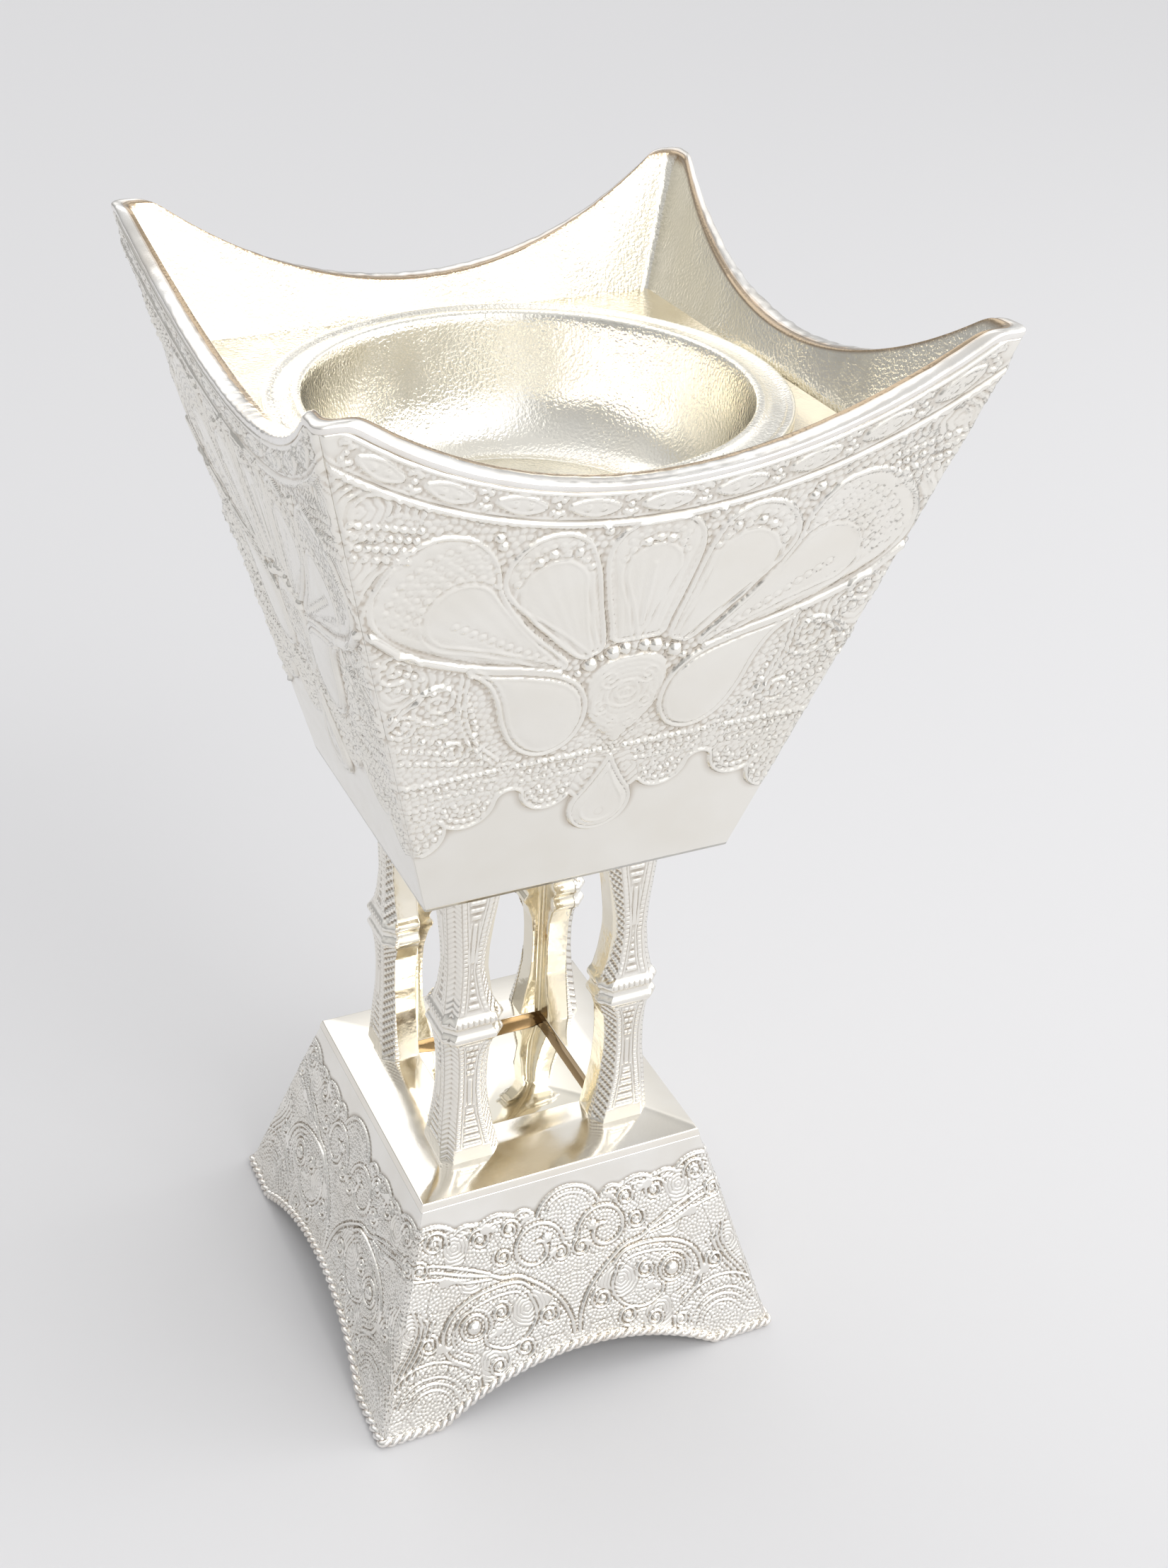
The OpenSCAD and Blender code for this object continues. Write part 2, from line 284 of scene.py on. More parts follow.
# ------------------------------------------------------------------ the ornament of a bowl side (x >= 0, mirrored)
def bowl_relief():
    c = Canvas(-0.5, 41.5, 83, 158, 0.07)
    H = c.H
    R_ = lambda r, x0, x1, n=160: np.array([[x, RIM_C - math.sqrt(r * r - x * x)] for x in np.linspace(x0, x1, n)])
    X, Z = np.meshgrid(c.X, c.Z)
    # scalloped lower border: everything above it is chased ground
    border = np.vstack([
        [[-0.5, 92.9]], arc(0, 96.7, 4.1, -90, 28, 20),
        arc(7.5, 101.6, 3.3, 215, 345, 20), arc(12.5, 100.7, 1.9, 150, 30, 14),
        arc(17.9, 101.3, 3.6, 195, 330, 20), arc(23.9, 97.6, 3.7, 150, 285, 20), [[41, 94.0]]])
    ground_poly = np.vstack([border, [[41, 158], [-0.5, 158]]])
    ground = c.poly_mask(ground_poly)
    c.plateau(ground_poly, 0.16, 0.35)
    # border band under the rim
    band_lo = R_(RIM_R + 5.0, -0.5, 40.5)
    band_mask = ground & (Z > (RIM_C - np.sqrt(np.maximum((RIM_R + 5.0)**2 - X**2, 1))))
    # ground first
    seeds = [(0, 114, 5.0), (5.5, 103.6, 0.5), (10.5, 103.4, 0.4), (17.6, 103.0, 0.6), (23.6, 101.0, 0.8), (2.4, 102.4, 0.2), (14.0, 104.6, 0), (28, 104.6, 0.3),
             (18.6, 112.0, 0.6), (23.0, 116.4, 1.4), (27.6, 112.4, 0.8), (28.4, 121.4, 1.6), (22.4, 108.6, 0.5), (30.6, 117.2, 0.4), (3.2, 107.6, 0.2), (17.2, 108.2, 0),
             (6.4, 139.0, 0), (17.6, 139.8, 0.4), (25.6, 143.2, 0.4), (30.4, 143.2, 0.6), (34.6, 145.6, 2.2), (35.4, 139.2, 1.2), (34.2, 132.8, 0.6), (38.2, 151.6, 0.8), (12, 139.8, 0.1)]
    filigree(c, ground & ~band_mask, seeds, 0.94, 0.17, 5, lines=(5, 11, 13, 20, 21), step=1.0)
    # petals
    P1 = spline([(0, 139.0), (2.8, 138.8), (4.9, 137.2), (5.6, 134.4), (4.9, 130.4), (3.6, 125.4), (2.9, 123.1), (0, 122.9), (-2.9, 123.1), (-3.6, 125.4), (-4.9, 130.4), (-5.6, 134.4), (-4.9, 137.2), (-2.8, 138.8)], True)
    P2 = spline([(4.2, 122.9), (5.4, 128.4), (6.6, 133.6), (8.4, 137.4), (11.4, 139.0), (14.8, 138.4), (17.2, 135.6), (17.0, 132.4), (13.4, 128.0), (7.4, 121.9), (5.4, 121.7)], True)
    P3 = spline([(8.4, 121.0), (13.4, 126.2), (17.4, 131.8), (18.8, 136.6), (21.6, 139.9), (26.0, 140.9), (30.3, 138.6), (32.4, 134.2), (31.4, 130.3), (27.4, 126.7), (20.4, 123.4), (11.4, 120.3)], True)
    for P, a in ((P3, 0.34), (P2, 0.30), (P1, 0.30)):
        c.plateau(P, 0.16 + a, 1.3)
        c.ridge(np.vstack([P, P[:1]]), 0.3, 0.32, base=0.28)
    # inner drops of the petals
    T1 = tear(0, 132.6, 3.2, 0, 122.6)
    T2 = tear(11.6, 131.8, 3.7, 5.4, 121.4)
    T3 = tear(22.0, 130.4, 4.0, 9.2, 120.9)
    for T in (T1, T2, T3):
        c.plateau(T, 0.56, 2.8)
        c.ridge(np.vstack([T, T[:1]]), 0.22, 0.13)
        c.ridge(offset_curve(np.vstack([T, T[:1]]), -0.8), 0.15, 0.09)
    # fine fluting inside the petals, running to the fan's centre
    for P, T in ((P1, T1), (P2, T2), (P3, T3)):
        m = c.poly_mask(P) & ~c.poly_mask(T)
        c.texture(m, lambda X, Z: 0.028 * np.sin(np.arctan2(X, Z - 112.0) * 110))
    for T, (tx, tz) in ((T1, (0, 122.6)), (T2, (5.4, 121.4)), (T3, (9.2, 120.9))):
        c.texture(c.poly_mask(T), lambda X, Z: 0.016 * np.sin(np.arctan2(X - tx, Z - tz + 3.0) * 60) * np.clip(np.hypot(X - tx, Z - tz) / 4, 0, 1))
    # beads at the heads of the petals
    for cx, cz, r, a0, a1, b in ((0, 132.6, 4.1, 25, 155, 0.46), (0, 132.6, 5.3, 50, 130, 0.40), (11.6, 131.8, 4.7, 20, 150, 0.5), (11.6, 131.8, 5.9, 40, 132, 0.42), (22.0, 130.4, 5.0, 5, 140, 0.5),
                                 (22.0, 130.4, 6.3, 0, 122, 0.44), (22.0, 130.4, 7.6, 4, 104, 0.40), (22.0, 130.4, 9.0, 14, 90, 0.46)):
        L = math.radians(a1 - a0) * r
        c.beads(arc(cx, cz, r, a0, a1, max(4, int(L / (2.25 * b)))), b, 0.8 * b + 0.06)
    c.beads([(0, 136.6), (1.4, 136.2), (12.4, 136.6), (13.9, 135.8), (9.4, 136.4), (18.3, 138.6), (18.8, 139.7), (6.2, 138.4), (6.8, 139.4)], 0.6, 0.6)
    # a row of long beads on the axis of the big petals, a row of small ones on the next
    c.beads(dots_along([(10.2, 121.6), (22.6, 129.2)], 1.3), 0.5, 0.46)
    c.beads(dots_along([(17.6, 124.4), (28.6, 129.6)], 1.1), 0.34, 0.3)
    c.beads(dots_along([(7.6, 125.6), (11.6, 132.6)], 1.15), 0.28, 0.24)
    c.ridge([(0, 125), (0, 133.4)], 0.24, 0.18)
    # the rows of small studs running under the big petal
    low = spline([(9.2, 119.8), (14, 121.2), (20.4, 122.9), (27.6, 126.0), (32.0, 129.6)])
    c.ridge(low, 0.55, 0.62, base=0.26)
    c.beads(dots_along(offset_curve(low, 1.05), 0.85), 0.28, 0.26)
    c.beads(dots_along(offset_curve(low, -0.95), 0.85), 0.3, 0.28)
    # arc of pearls round the vase
    for xq, b in ((0.0, 0.46), (1.2, 0.76), (2.65, 0.88), (4.0, 0.5), (5.25, 0.9), (6.6, 0.5)):
        c.beads([(xq, 111.7 + math.sqrt(9.8**2 - xq * xq))], b, b * 0.95)
    # vase
    V = spline([(0, 120.4), (3.6, 119.6), (5.0, 117.0), (4.8, 113.6), (3.3, 110.6), (1.2, 108.4), (0, 107.0), (-1.2, 108.4), (-3.3, 110.6), (-4.8, 113.6), (-5.0, 117.0), (-3.6, 119.6)], True)
    c.plateau(V, 0.52, 1.0)
    m = c.poly_mask(V)
    c.texture(m, lambda X, Z: 0.05 * np.sin(np.hypot(X, Z - 115) * 8.5 + np.arctan2(Z - 115, X) * 3) * (0.6 + 0.4 * np.sin(np.arctan2(Z - 115, X) * 26)))
    for vx, vz, vr, va, vf in ((2.4, 117.4, 1.5, 200, 1), (2.7, 113.2, 1.3, 60, -1), (1.2, 110.4, 0.9, 90, 1)):
        c.ridge(spiral(vx, vz, vr, 0.25, va, 1.5, flip=vf), 0.16, 0.12)
    c.ridge(spiral(0, 115.2, 0.2, 2.6, 20, 2.0), 0.2, 0.12)
    # big plain drops
    D = spline([(20.4, 122.6), (17.6, 120.0), (16.1, 117.0), (15.0, 113.2), (13.3, 109.9), (10.8, 108.0), (8.2, 107.9), (6.0, 109.4), (4.9, 112.2), (5.2, 115.2), (6.6, 117.6), (9.2, 119.4), (13.0, 120.7), (17.2, 121.7)], True)
    c.plateau(D, 0.85, 2.6)
    c.ridge(np.vstack([D, D[:1]]), 0.33, 0.42, base=0.3)
    c.ridge(offset_curve(np.vstack([D, D[:1]]), -0.75), 0.22, 0.12)
    # straight rope line with rosettes
    c.ridge([(1.6, 106.2), (12.2, 106.2)], 0.42, 0.2)
    c.ridge([(15.0, 106.2), (27.5, 106.2)], 0.42, 0.2)
    c.beads(dots_along([(1.6, 106.2), (12.2, 106.2)], 0.86), 0.42, 0.44)
    c.beads(dots_along([(15.0, 106.2), (26.6, 106.0)], 0.86), 0.42, 0.44)
    for x in (0, 13.6):
        c.beads([(x + 0.75 * math.cos(t), 106.2 + 0.75 * math.sin(t)) for t in np.linspace(0, 2 * np.pi, 7)[:-1]], 0.34, 0.34)
        c.beads([(x, 106.2)], 0.36, 0.42)
    # pendant drop
    D2 = tear(0, 96.9, 3.9, 0, 105.0)
    c.plateau(D2, 0.62, 1.5)
    c.ridge(np.vstack([D2, D2[:1]]), 0.29, 0.36, base=0.2)
    D3 = tear(0, 97.1, 2.7, 0, 103.4)
    c.ridge(np.vstack([D3, D3[:1]]), 0.2, 0.14)
    c.beads(dots_along([(0, 98.2), (0, 102.0)], 0.55), 0.3, 0.3)
    c.beads([(0, 95.9)], 0.5, 0.4)
    # the scalloped border's own rope
    edge = np.vstack([arc(7.5, 101.6, 3.3, 215, 345, 20), arc(12.5, 100.7, 1.9, 150, 30, 14), arc(17.9, 101.3, 3.6, 195, 330, 20), arc(23.9, 97.6, 3.7, 150, 250, 20)])
    c.ridge(edge, 0.29, 0.36, base=0.14)
    for cx, cz, r, n in ((7.5, 101.8, 2.4, 8), (7.5, 102.1, 1.3, 5), (17.9, 101.5, 2.7, 9), (17.9, 101.8, 1.5, 6), (23.4, 98.2, 2.6, 7), (23.6, 98.6, 1.3, 4)):
        c.beads(arc(cx, cz, r, 190, 350, n), 0.42, 0.42)
    for x0, x1, z in ((3.2, 11.4, 104.8), (3.6, 11.2, 103.5), (14.9, 21.8, 104.8), (15.2, 22.4, 103.5), (22.2, 26.0, 102.0), (21.8, 25.6, 104.8), (22.0, 25.2, 100.8)):
        c.beads(dots_along([(x0, z), (x1, z + 0.05)], 0.95), 0.4, 0.4)
    # scrolls and stud rows beside the big drops
    for cx, cz, r, a0, f in ((23.4, 118.6, 3.4, 200, 1), (28.6, 124.2, 2.6, 160, -1), (20.8, 110.6, 2.2, 150, 1), (27.2, 116.0, 2.0, 30, -1)):
        c.ridge(spiral(cx, cz, r, 0.5, a0, 1.8, flip=f), 0.28, 0.26)
        c.beads([(cx, cz)], 0.42, 0.36)
    for k, (x0, z0, x1, z1) in enumerate(((18.0, 108.0, 26.8, 110.2), (18.8, 109.6, 27.4, 112.4), (21.5, 112.0, 28.4, 114.6), (24.0, 120.0, 30.4, 122.2), (18.2, 113.6, 19.8, 118.4), (16.9, 107.8, 18.2, 112.6), (24.6, 113.0, 28.6, 117.4), (25.6, 122.4, 31.0, 125.6))):
        c.beads(dots_along([(x0, z0), (x1, z1)], 1.0), 0.44, 0.42)
    for dq in (0.0, 0.75):
        c.ridge(offset_curve(spline([(20.8, 121.8), (20.6, 116.4), (18.8, 111.4), (15.4, 107.4)]), -dq), 0.26, 0.26)
        c.ridge(offset_curve(spline([(22.4, 121.2), (25.2, 120.6), (28.6, 117.8), (30.4, 114.0)]), -dq), 0.26, 0.26)
    # wings in the upper corners
    for r in (2.0, 3.0, 4.0, 5.0, 6.0):
        c.ridge(arc(33.4, 145.6, r, -70, 200, 50), 0.24, 0.2)
    for k in range(4):
        c.beads(dots_along([(27.6 + 0.4 * k, 142.2 - 1.15 * k), (36.4 - 0.6 * k, 144.6 - 1.5 * k)], 1.0), 0.46, 0.44)
    for r in (8.6, 9.6, 10.6):
        c.ridge(arc(24.6, 131.6, r, -5, 60, 50), 0.22, 0.18)
    # band under the rim
    sub = band_mask
    c.H[sub] = c.H[sub] * 0.15 + 0.2
    c.ridge(R_(RIM_R + 4.95, -0.5, 40.5), 0.4, 0.42)
    c.ridge(R_(RIM_R + 4.15, -0.5, 40.5), 0.2, 0.16)
    c.ridge(R_(RIM_R + 1.25, -0.5, 40.5), 0.24, 0.22)
    sarc = lambda r, s: (r * math.sin(s / r), RIM_C - r * math.cos(s / r))
    rr = RIM_R + 2.75
    for k in range(0, 6):
        s0 = 8.6 * k
        # leaf-shaped oval
        u = np.linspace(0, 2 * np.pi, 40)
        ov = np.array([sarc(rr + 1.05 * math.sin(t) * (1 - 0.25 * abs(math.cos(t))), s0 + 2.9 * math.cos(t)) for t in u])
        if s0 + 3 > 40:
            continue
        c.plateau(ov[:-1], 0.55, 0.8)
        c.ridge(ov, 0.24, 0.26)
        c.beads([sarc(rr, s0 - 0.9), sarc(rr, s0 + 0.9)], 0.5, 0.46)
        for ds, dr in ((4.3, 0.0), (3.75, 0.75), (3.75, -0.75), (4.85, 0.75), (4.85, -0.75), (4.3, -1.0), (4.3, 1.0)):
            c.beads([sarc(rr + dr, s0 + ds)], 0.42, 0.42)
    for r_, ph in ((RIM_R + 1.75, 0.0), (RIM_R + 3.75, 0.0)):
        c.beads([sarc(r_, s) for s in np.arange(0, 39.5, 0.8)], 0.3, 0.28, ring=False)
    c.H[~ground & (c.H < 0.2)] *= 0.2
    return c


# ------------------------------------------------------------------ the ornament of a base side (x >= 0, mirrored)
def base_relief():
    c = Canvas(-0.5, 32.5, -1.5, 35.5, 0.06)
    X, Z = np.meshgrid(c.X, c.Z)
    border = np.vstack([arc(0, 26.0, 5.5, 92, 26, 24), arc(6.9, 27.7, 2.0, 125, 55, 10), arc(10.9, 25.9, 4.2, 118, 58, 14),
                        arc(15.4, 26.6, 3.2, 112, 60, 12), arc(20.6, 26.0, 5.0, 132, 60, 16), [[26, 30.4]]])
    ground_poly = np.vstack([border, [[33, 30], [33, -1.5], [-0.5, -1.5], [-0.5, 31.5]]])
    c.plateau(ground_poly, 0.14, 0.25)
    ground = c.poly_mask(ground_poly)
    seeds = [(0, 27.0, 2.6), (5.4, 23.4, 2.6), (9.2, 26.6, 0.9), (13.2, 25.0, 1.2), (17.4, 26.8, 0.8), (21.2, 27.0, 1.4), (1.4, 20.6, 0.4), (0.4, 15.2, 0.8), (10.0, 21.8, 0.6),
             (15.4, 21.4, 0.5), (19.6, 20.2, 0.8), (23.6, 21.6, 0.9), (4.6, 18.4, 0.4), (7.4, 14.6, 1.4), (12.2, 12.0, 1.0), (15.6, 14.0, 2.2), (20.2, 15.2, 1.0), (24.8, 16.0, 0.8),
             (3.8, 11.6, 0.8), (8.4, 9.4, 0.9), (13.2, 8.0, 0.4), (17.6, 8.2, 0.9), (22.4, 10.6, 1.2), (26.8, 11.4, 0.9), (22.4, 3.4, 2.6), (28.6, 6.0, 1.2), (28.4, 1.0, 0.8),
             (18.6, 4.8, 0.4), (4.0, 7.4, 0.2), (0, 10.0, 0.3), (17.0, 17.6, 0.3), (9.6, 17.2, 0.4)]
    filigree(c, ground, seeds, 0.56, 0.2, 9, lines=(4, 9, 13, 17, 20, 23), step=0.62)
    def crest(pts, w=0.24, a=0.3, groove=0.16):
        """A raised line with a crease on both sides."""
        w, a, groove = w * 0.78, a * 0.98, groove * 0.8
        for sgn in (-1, 1):
            c.ridge(offset_curve(pts, sgn * (w + 0.16)), 0.18, -groove)
        c.ridge(pts, w, a, base=0.16)
    # rope edging of the cloud border, doubled
    for seg in (arc(0, 26.0, 5.15, 92, 22, 24), arc(6.9, 27.7, 1.7, 125, 45, 10), arc(10.9, 25.9, 3.85, 118, 52, 14), arc(15.4, 26.6, 2.85, 112, 50, 12), arc(20.6, 26.0, 4.65, 132, 60, 16)):
        crest(seg, 0.24, 0.16)
        c.beads(dots_along(seg, 0.6), 0.27, 0.24, ring=False)
        crest(offset_curve(seg, -0.95), 0.16, 0.16, 0.1)
    # ram's horn volutes
    crest(spiral(5.3, 23.2, 4.3, 0.9, 175, 1.25, flip=-1), 0.3, 0.26)
    c.beads([(3.5, 24.4)], 0.8, 0.45); c.beads([(3.5, 24.4)], 0.34, 0.3)
    # long S line from the middle of the arch up to the volute, and the boteh outline
    S1 = spline([(0.4, 8.6), (0.7, 11.0), (1.8, 13.8), (3.6, 16.1), (5.9, 18.2), (8.4, 19.9), (10.8, 20.3), (13.2, 21.6)], n=14)
    crest(S1, 0.26, 0.26, 0.22)
    B1 = spline([(6.4, 17.4), (8.4, 19.0), (12.3, 19.2), (16.4, 18.2), (19.2, 16.2), (20.4, 13.4), (19.6, 10.4), (17.0, 8.4)], n=14)
    crest(B1, 0.3, 0.3, 0.2)
    crest(offset_curve(B1, -1.5), 0.16, 0.2, 0.12)
    crest(spline([(7.0, 17.0), (6.0, 13.6), (7.6, 10.6), (10.8, 9.4), (13.6, 10.6), (14.2, 12.4)]), 0.2, 0.24, 0.14)
    c.beads([(15.6, 14.0)], 1.0, 0.6); c.beads([(15.6, 14.0)], 0.4, 0.3)
    crest(arc(15.6, 14.0, 1.9, 0, 360, 40), 0.2, 0.26)
    crest(arc(15.6, 14.0, 2.7, -40, 200, 40), 0.16, 0.2, 0.1)
    # leaves to the upper corner
    for d in (0.0, 1.1, 2.1):
        crest(spline([(12.4, 20.6 + d * 0.4), (16.4, 21.2 + d), (20.4, 22.8 + d), (23.6, 23.4 + d)]), 0.18, 0.26, 0.14)
    # wavy lines following the corner down to the foot
    for k, d in enumerate((0.0, 0.8, 1.6, 2.5)):
        crest(spline([(24.4 - d, 19.4 - k), (24.0 - d, 16.6), (25.4 - d, 13.4), (27.6 - d, 10.4), (28.6 - d, 7.6 + k * 0.5)]), 0.17, 0.2, 0.12)
    # fans at the feet
    for r in (3.6, 4.6, 5.6, 7.8):
        crest(arc(23.2, 2.8, r, 25, 165, 50), 0.18, 0.2, 0.12)
    c.beads(dots_along(arc(23.2, 2.8, 6.7, 25, 165, 40), 0.85), 0.34, 0.3)
    c.beads(dots_along(arc(23.2, 2.8, 2.4, 20, 170, 40), 0.85), 0.32, 0.28)
    # scrolls along the arch and in the border
    for cx, cz, r, a0, f in ((9.0, 27.2, 1.5, 200, -1), (13.6, 27.0, 1.7, 20, 1), (20.2, 28.2, 1.9, 200, -1), (22.8, 24.8, 1.4, 60, 1), (1.6, 21.6, 1.4, 120, 1), (10.4, 23.4, 1.5, 40, -1),
                             (4.2, 12.6, 1.7, 120, 1), (8.2, 8.6, 1.6, 260, -1), (12.4, 7.0, 1.4, 260, 1), (16.6, 5.4, 1.2, 260, -1), (22.6, 13.4, 1.5, 120, 1), (11.4, 15.2, 1.6, 90, 1)):
        crest(spiral(cx, cz, r, 0.35, a0, 1.7, flip=f), 0.2, 0.26, 0.14)
        c.beads([(cx, cz)], 0.4, 0.4)
    # a few smooth leaves let into the ground
    for cx, cz, r, tx, tz in ((20.9, 12.4, 0.8, 18.6, 11.4), (19.4, 22.2, 0.75, 14.6, 21.2), (11.8, 12.4, 0.6, 14.4, 11.4), (2.6, 21.9, 0.5, 4.2, 20.6), (12.6, 28.3, 0.8, 10.4, 27.6), (6.4, 28.3, 0.5, 7.8, 26.9), (10.9, 6.9, 0.4, 10.2, 9.2)):
        T = tear(cx, cz, r, tx, tz)
        c.plateau(T, 0.34, 0.3)
    c.H[~ground & (c.H < 0.12)] *= 0.1
    return c


# ------------------------------------------------------------------ mesh helpers
def new_mesh(name, verts, faces, smooth=True, attrs=None):
    me = bpy.data.meshes.new(name)
    me.from_pydata(np.asarray(verts, float).tolist(), [], faces)
    me.validate()
    me.update()
    if smooth:
        me.polygons.foreach_set("use_smooth", np.ones(len(me.polygons), bool))
    if attrs:
        for k, v in attrs.items():
            at = me.attributes.new(k, "FLOAT", "POINT")
            at.data.foreach_set("value", np.asarray(v, np.float32))
    ob = bpy.data.objects.new(name, me)
    bpy.context.scene.collection.objects.link(ob)
    return ob


def grid_faces(nr, nc, off=0, wrap=False, flip=False):
    r = np.arange(nr - 1)[:, None]; k = np.arange(nc if wrap else nc - 1)[None, :]
    a = off + r * nc + k; b = off + r * nc + (k + 1) % nc
    d = off + (r + 1) * nc + k; e = off + (r + 1) * nc + (k + 1) % nc
    F = np.stack([a, b, e, d], -1).reshape(-1, 4)
    if flip:
        F = F[:, ::-1]
    return F.tolist()


def blur(H, n):
    for _ in range(3):
        for ax in (0, 1):
            K = np.pad(H, [(n, n) if a == ax else (0, 0) for a in (0, 1)], mode="edge")
            C = np.cumsum(np.insert(K, 0, 0, axis=ax), axis=ax, dtype=np.float64)
            L = H.shape[ax]
            s1 = [slice(None)] * 2; s2 = [slice(None)] * 2
            s1[ax] = slice(2 * n + 1, 2 * n + 1 + L); s2[ax] = slice(0, L)
            H = (C[tuple(s1)] - C[tuple(s2)]) / (2 * n + 1)
    return H


def side_panel(name, X, Z, half, H, n, thick, shade_amount, turn, rad):
    """A closed sheet for one side. X, Z: rows by columns, the outer face; half(z): its distance from the axis; H: relief along the outward normal n."""
    nr, nc = X.shape
    Y = -half(Z)
    P = np.stack([X + H * 0, Y + H * n[1], Z + H * n[2]], -1).reshape(-1, 3)
    F = grid_faces(nr, nc)
    # back: full rows at the first and last line, two columns between
    hb = half(Z) - thick
    sc = hb / half(Z)
    B = np.stack([X * sc, -hb, Z], -1)
    vb = []
    idx = {}
    base = nr * nc
    def bi(i, j):
        k = (i, j)
        if k not in idx:
            idx[k] = base + len(vb)
            vb.append(B[i, j])
        return idx[k]
    top = [bi(nr - 1, j) for j in range(nc)]
    bot = [bi(0, j) for j in range(nc)]
    lef = [bi(i, 0) for i in range(nr)]
    rig = [bi(i, nc - 1) for i in range(nr)]
    # a coarser net inside, keeping every vertex of the outline
    rr = sorted(set(list(range(0, nr, 12)) + [nr - 1])); cc = sorted(set(list(range(0, nc, 10)) + [nc - 1]))
    for a, b in zip(rr[:-1], rr[1:]):
        for l, r in zip(cc[:-1], cc[1:]):
            low = [bi(a, j) for j in (range(l, r + 1) if a == 0 else (l, r))]
            hi = [bi(b, j) for j in (range(l, r + 1) if b == nr - 1 else (l, r))]
            le = [bi(i, l) for i in range(a + 1, b)] if l == 0 else []
            ri = [bi(i, r) for i in range(a + 1, b)] if r == nc - 1 else []
            F.append(low[::-1] + le + hi + ri[::-1])
    # edges
    for j in range(nc - 1):
        F.append([bot[j], bot[j + 1], j + 1, j])
        F.append([(nr - 1) * nc + j, (nr - 1) * nc + j + 1, top[j + 1], top[j]])
    for i in range(nr - 1):
        F.append([i * nc, (i + 1) * nc, lef[i + 1], lef[i]])
        F.append([(i + 1) * nc + nc - 1, i * nc + nc - 1, rig[i], rig[i + 1]])
    V = ease_corner(np.vstack([P, np.array(vb)]), rad) * MM
    c, s = math.cos(turn), math.sin(turn)
    V = np.c_[V[:, 0] * c - V[:, 1] * s, V[:, 0] * s + V[:, 1] * c, V[:, 2]]
    # the front face carries the painted-shade amounts, the back none
    at = np.r_[shade_amount.reshape(-1), np.zeros(len(vb))]
    return new_mesh(name, V, F, attrs={"painted_shade": at})


def ease_corner(V, r_of_z):
    """Rounds the upright corners of a square shape in plan (mm); r_of_z gives the radius at each height."""
    V = np.array(V, float)
    a, b = np.abs(V[:, 0]), np.abs(V[:, 1])
    m = np.maximum(a, b); r = r_of_z(V[:, 2])
    c = m - r
    da, db = a - c, b - c
    hit = (np.minimum(da, db) > 0) & (r > 0)
    k = np.where(hit, r / np.maximum(np.hypot(da, db), 1e-9), 1.0)
    V[:, 0] = np.where(hit, np.sign(V[:, 0]) * (c + da * k), V[:, 0])
    V[:, 1] = np.where(hit, np.sign(V[:, 1]) * (c + db * k), V[:, 1])
    return V


bowl_r = lambda z: np.interp(z, [83.5, 130, 148, 156], [0.35, 0.5, 0.9, 1.3])
base_r = lambda z: np.interp(z, [0, 34], [0.45, 0.35])
SIDES = {"front": 0.0, "right": math.pi / 2, "back": math.pi, "left": -math.pi / 2}


def build_bowl_sides():
    c = bowl_relief()
    NC = 401
    u = np.linspace(-1, 1, NC)
    # top line: one millimetre under the rim, where the hem begins
    zt = np.full(NC, 150.0)
    for _ in range(60):
        zt = 0.5 * zt + 0.5 * (rim_z(u * bowl_at(zt)) - 1.0)
    zb = BWZ
    knots = np.r_[np.linspace(0, 1, 12, endpoint=False) * 8.0, np.linspace(8.0, 100, 320)] / 100
    low = zb + 8.0
    Z = np.empty((len(knots), NC)); X = np.empty_like(Z)
    for i, k in enumerate(knots):
        if k * 100 < 8.0:
            Z[i] = zb + k * 100
        else:
            v = (k * 100 - 8.0) / 92.0
            Z[i] = low + v * (zt - low)
        X[i] = u * bowl_at(Z[i])
    H = c.sample(np.abs(X), Z)
    half = bowl_at(Z)
    d_edge = half - np.abs(X)
    H = H * np.clip((d_edge - 0.15) / 0.5, 0, 1)
    d_top = (zt[None, :] - Z)
    H = H * np.clip(d_top / 0.3, 0, 1)
    Hs = c.H
    # Painted shade: an amount that is high where the relief lies below its blurred surroundings, in its hollows; none
    # on the plain band below 92 mm
    shade_canvas = Canvas(-0.5, 41.5, 83, 158, 0.07); shade_canvas.H = (blur(Hs, 9) - Hs).astype(np.float32)
    shade_amount = np.clip(shade_canvas.sample(np.abs(X), Z) * 5, -1, 1)
    shade_amount *= np.clip((Z - 92) / 2, 0, 1)
    n = np.array([0, -1, -WS]); n = n / np.linalg.norm(n)
    out = {}
    for s, t in SIDES.items():
        out[s] = side_panel("bowl_side_" + s, X, Z, bowl_at, H, n, 0.8, shade_amount, t, bowl_r)
    return out


def build_base_sides():
    c = base_relief()
    NC = 411
    u = np.linspace(-1, 1, NC)
    zb = np.zeros(NC)
    for _ in range(60):
        zb = 0.5 * zb + 0.5 * arch_z(u * foot_at(zb))
    NR = 241
    v = np.linspace(0, 1, NR)[:, None]
    Z = zb[None, :] + v * (DECK0 - zb[None, :])
    X = u[None, :] * foot_at(Z)
    H = c.sample(np.abs(X), Z)
    half = foot_at(Z)
    H = H * np.clip((half - np.abs(X) - 0.1) / 0.35, 0, 1)
    H = H * np.clip((Z - zb[None, :]) / 0.25, 0, 1)
    # Painted shade: high where the relief lies below its blurred surroundings, in its hollows
    shade_canvas = Canvas(-0.5, 32.5, -1.5, 35.5, 0.06); shade_canvas.H = (blur(c.H, 7) - c.H).astype(np.float32)
    shade_amount = np.clip(shade_canvas.sample(np.abs(X), Z) * 7, -1, 1)
    n = np.array([0, -1, BS]); n = n / np.linalg.norm(n)
    out = {}
    for s, t in SIDES.items():
        out[s] = side_panel("base_side_" + s, X, Z, foot_at, H, n, 1.2, shade_amount, t, base_r)
    return out


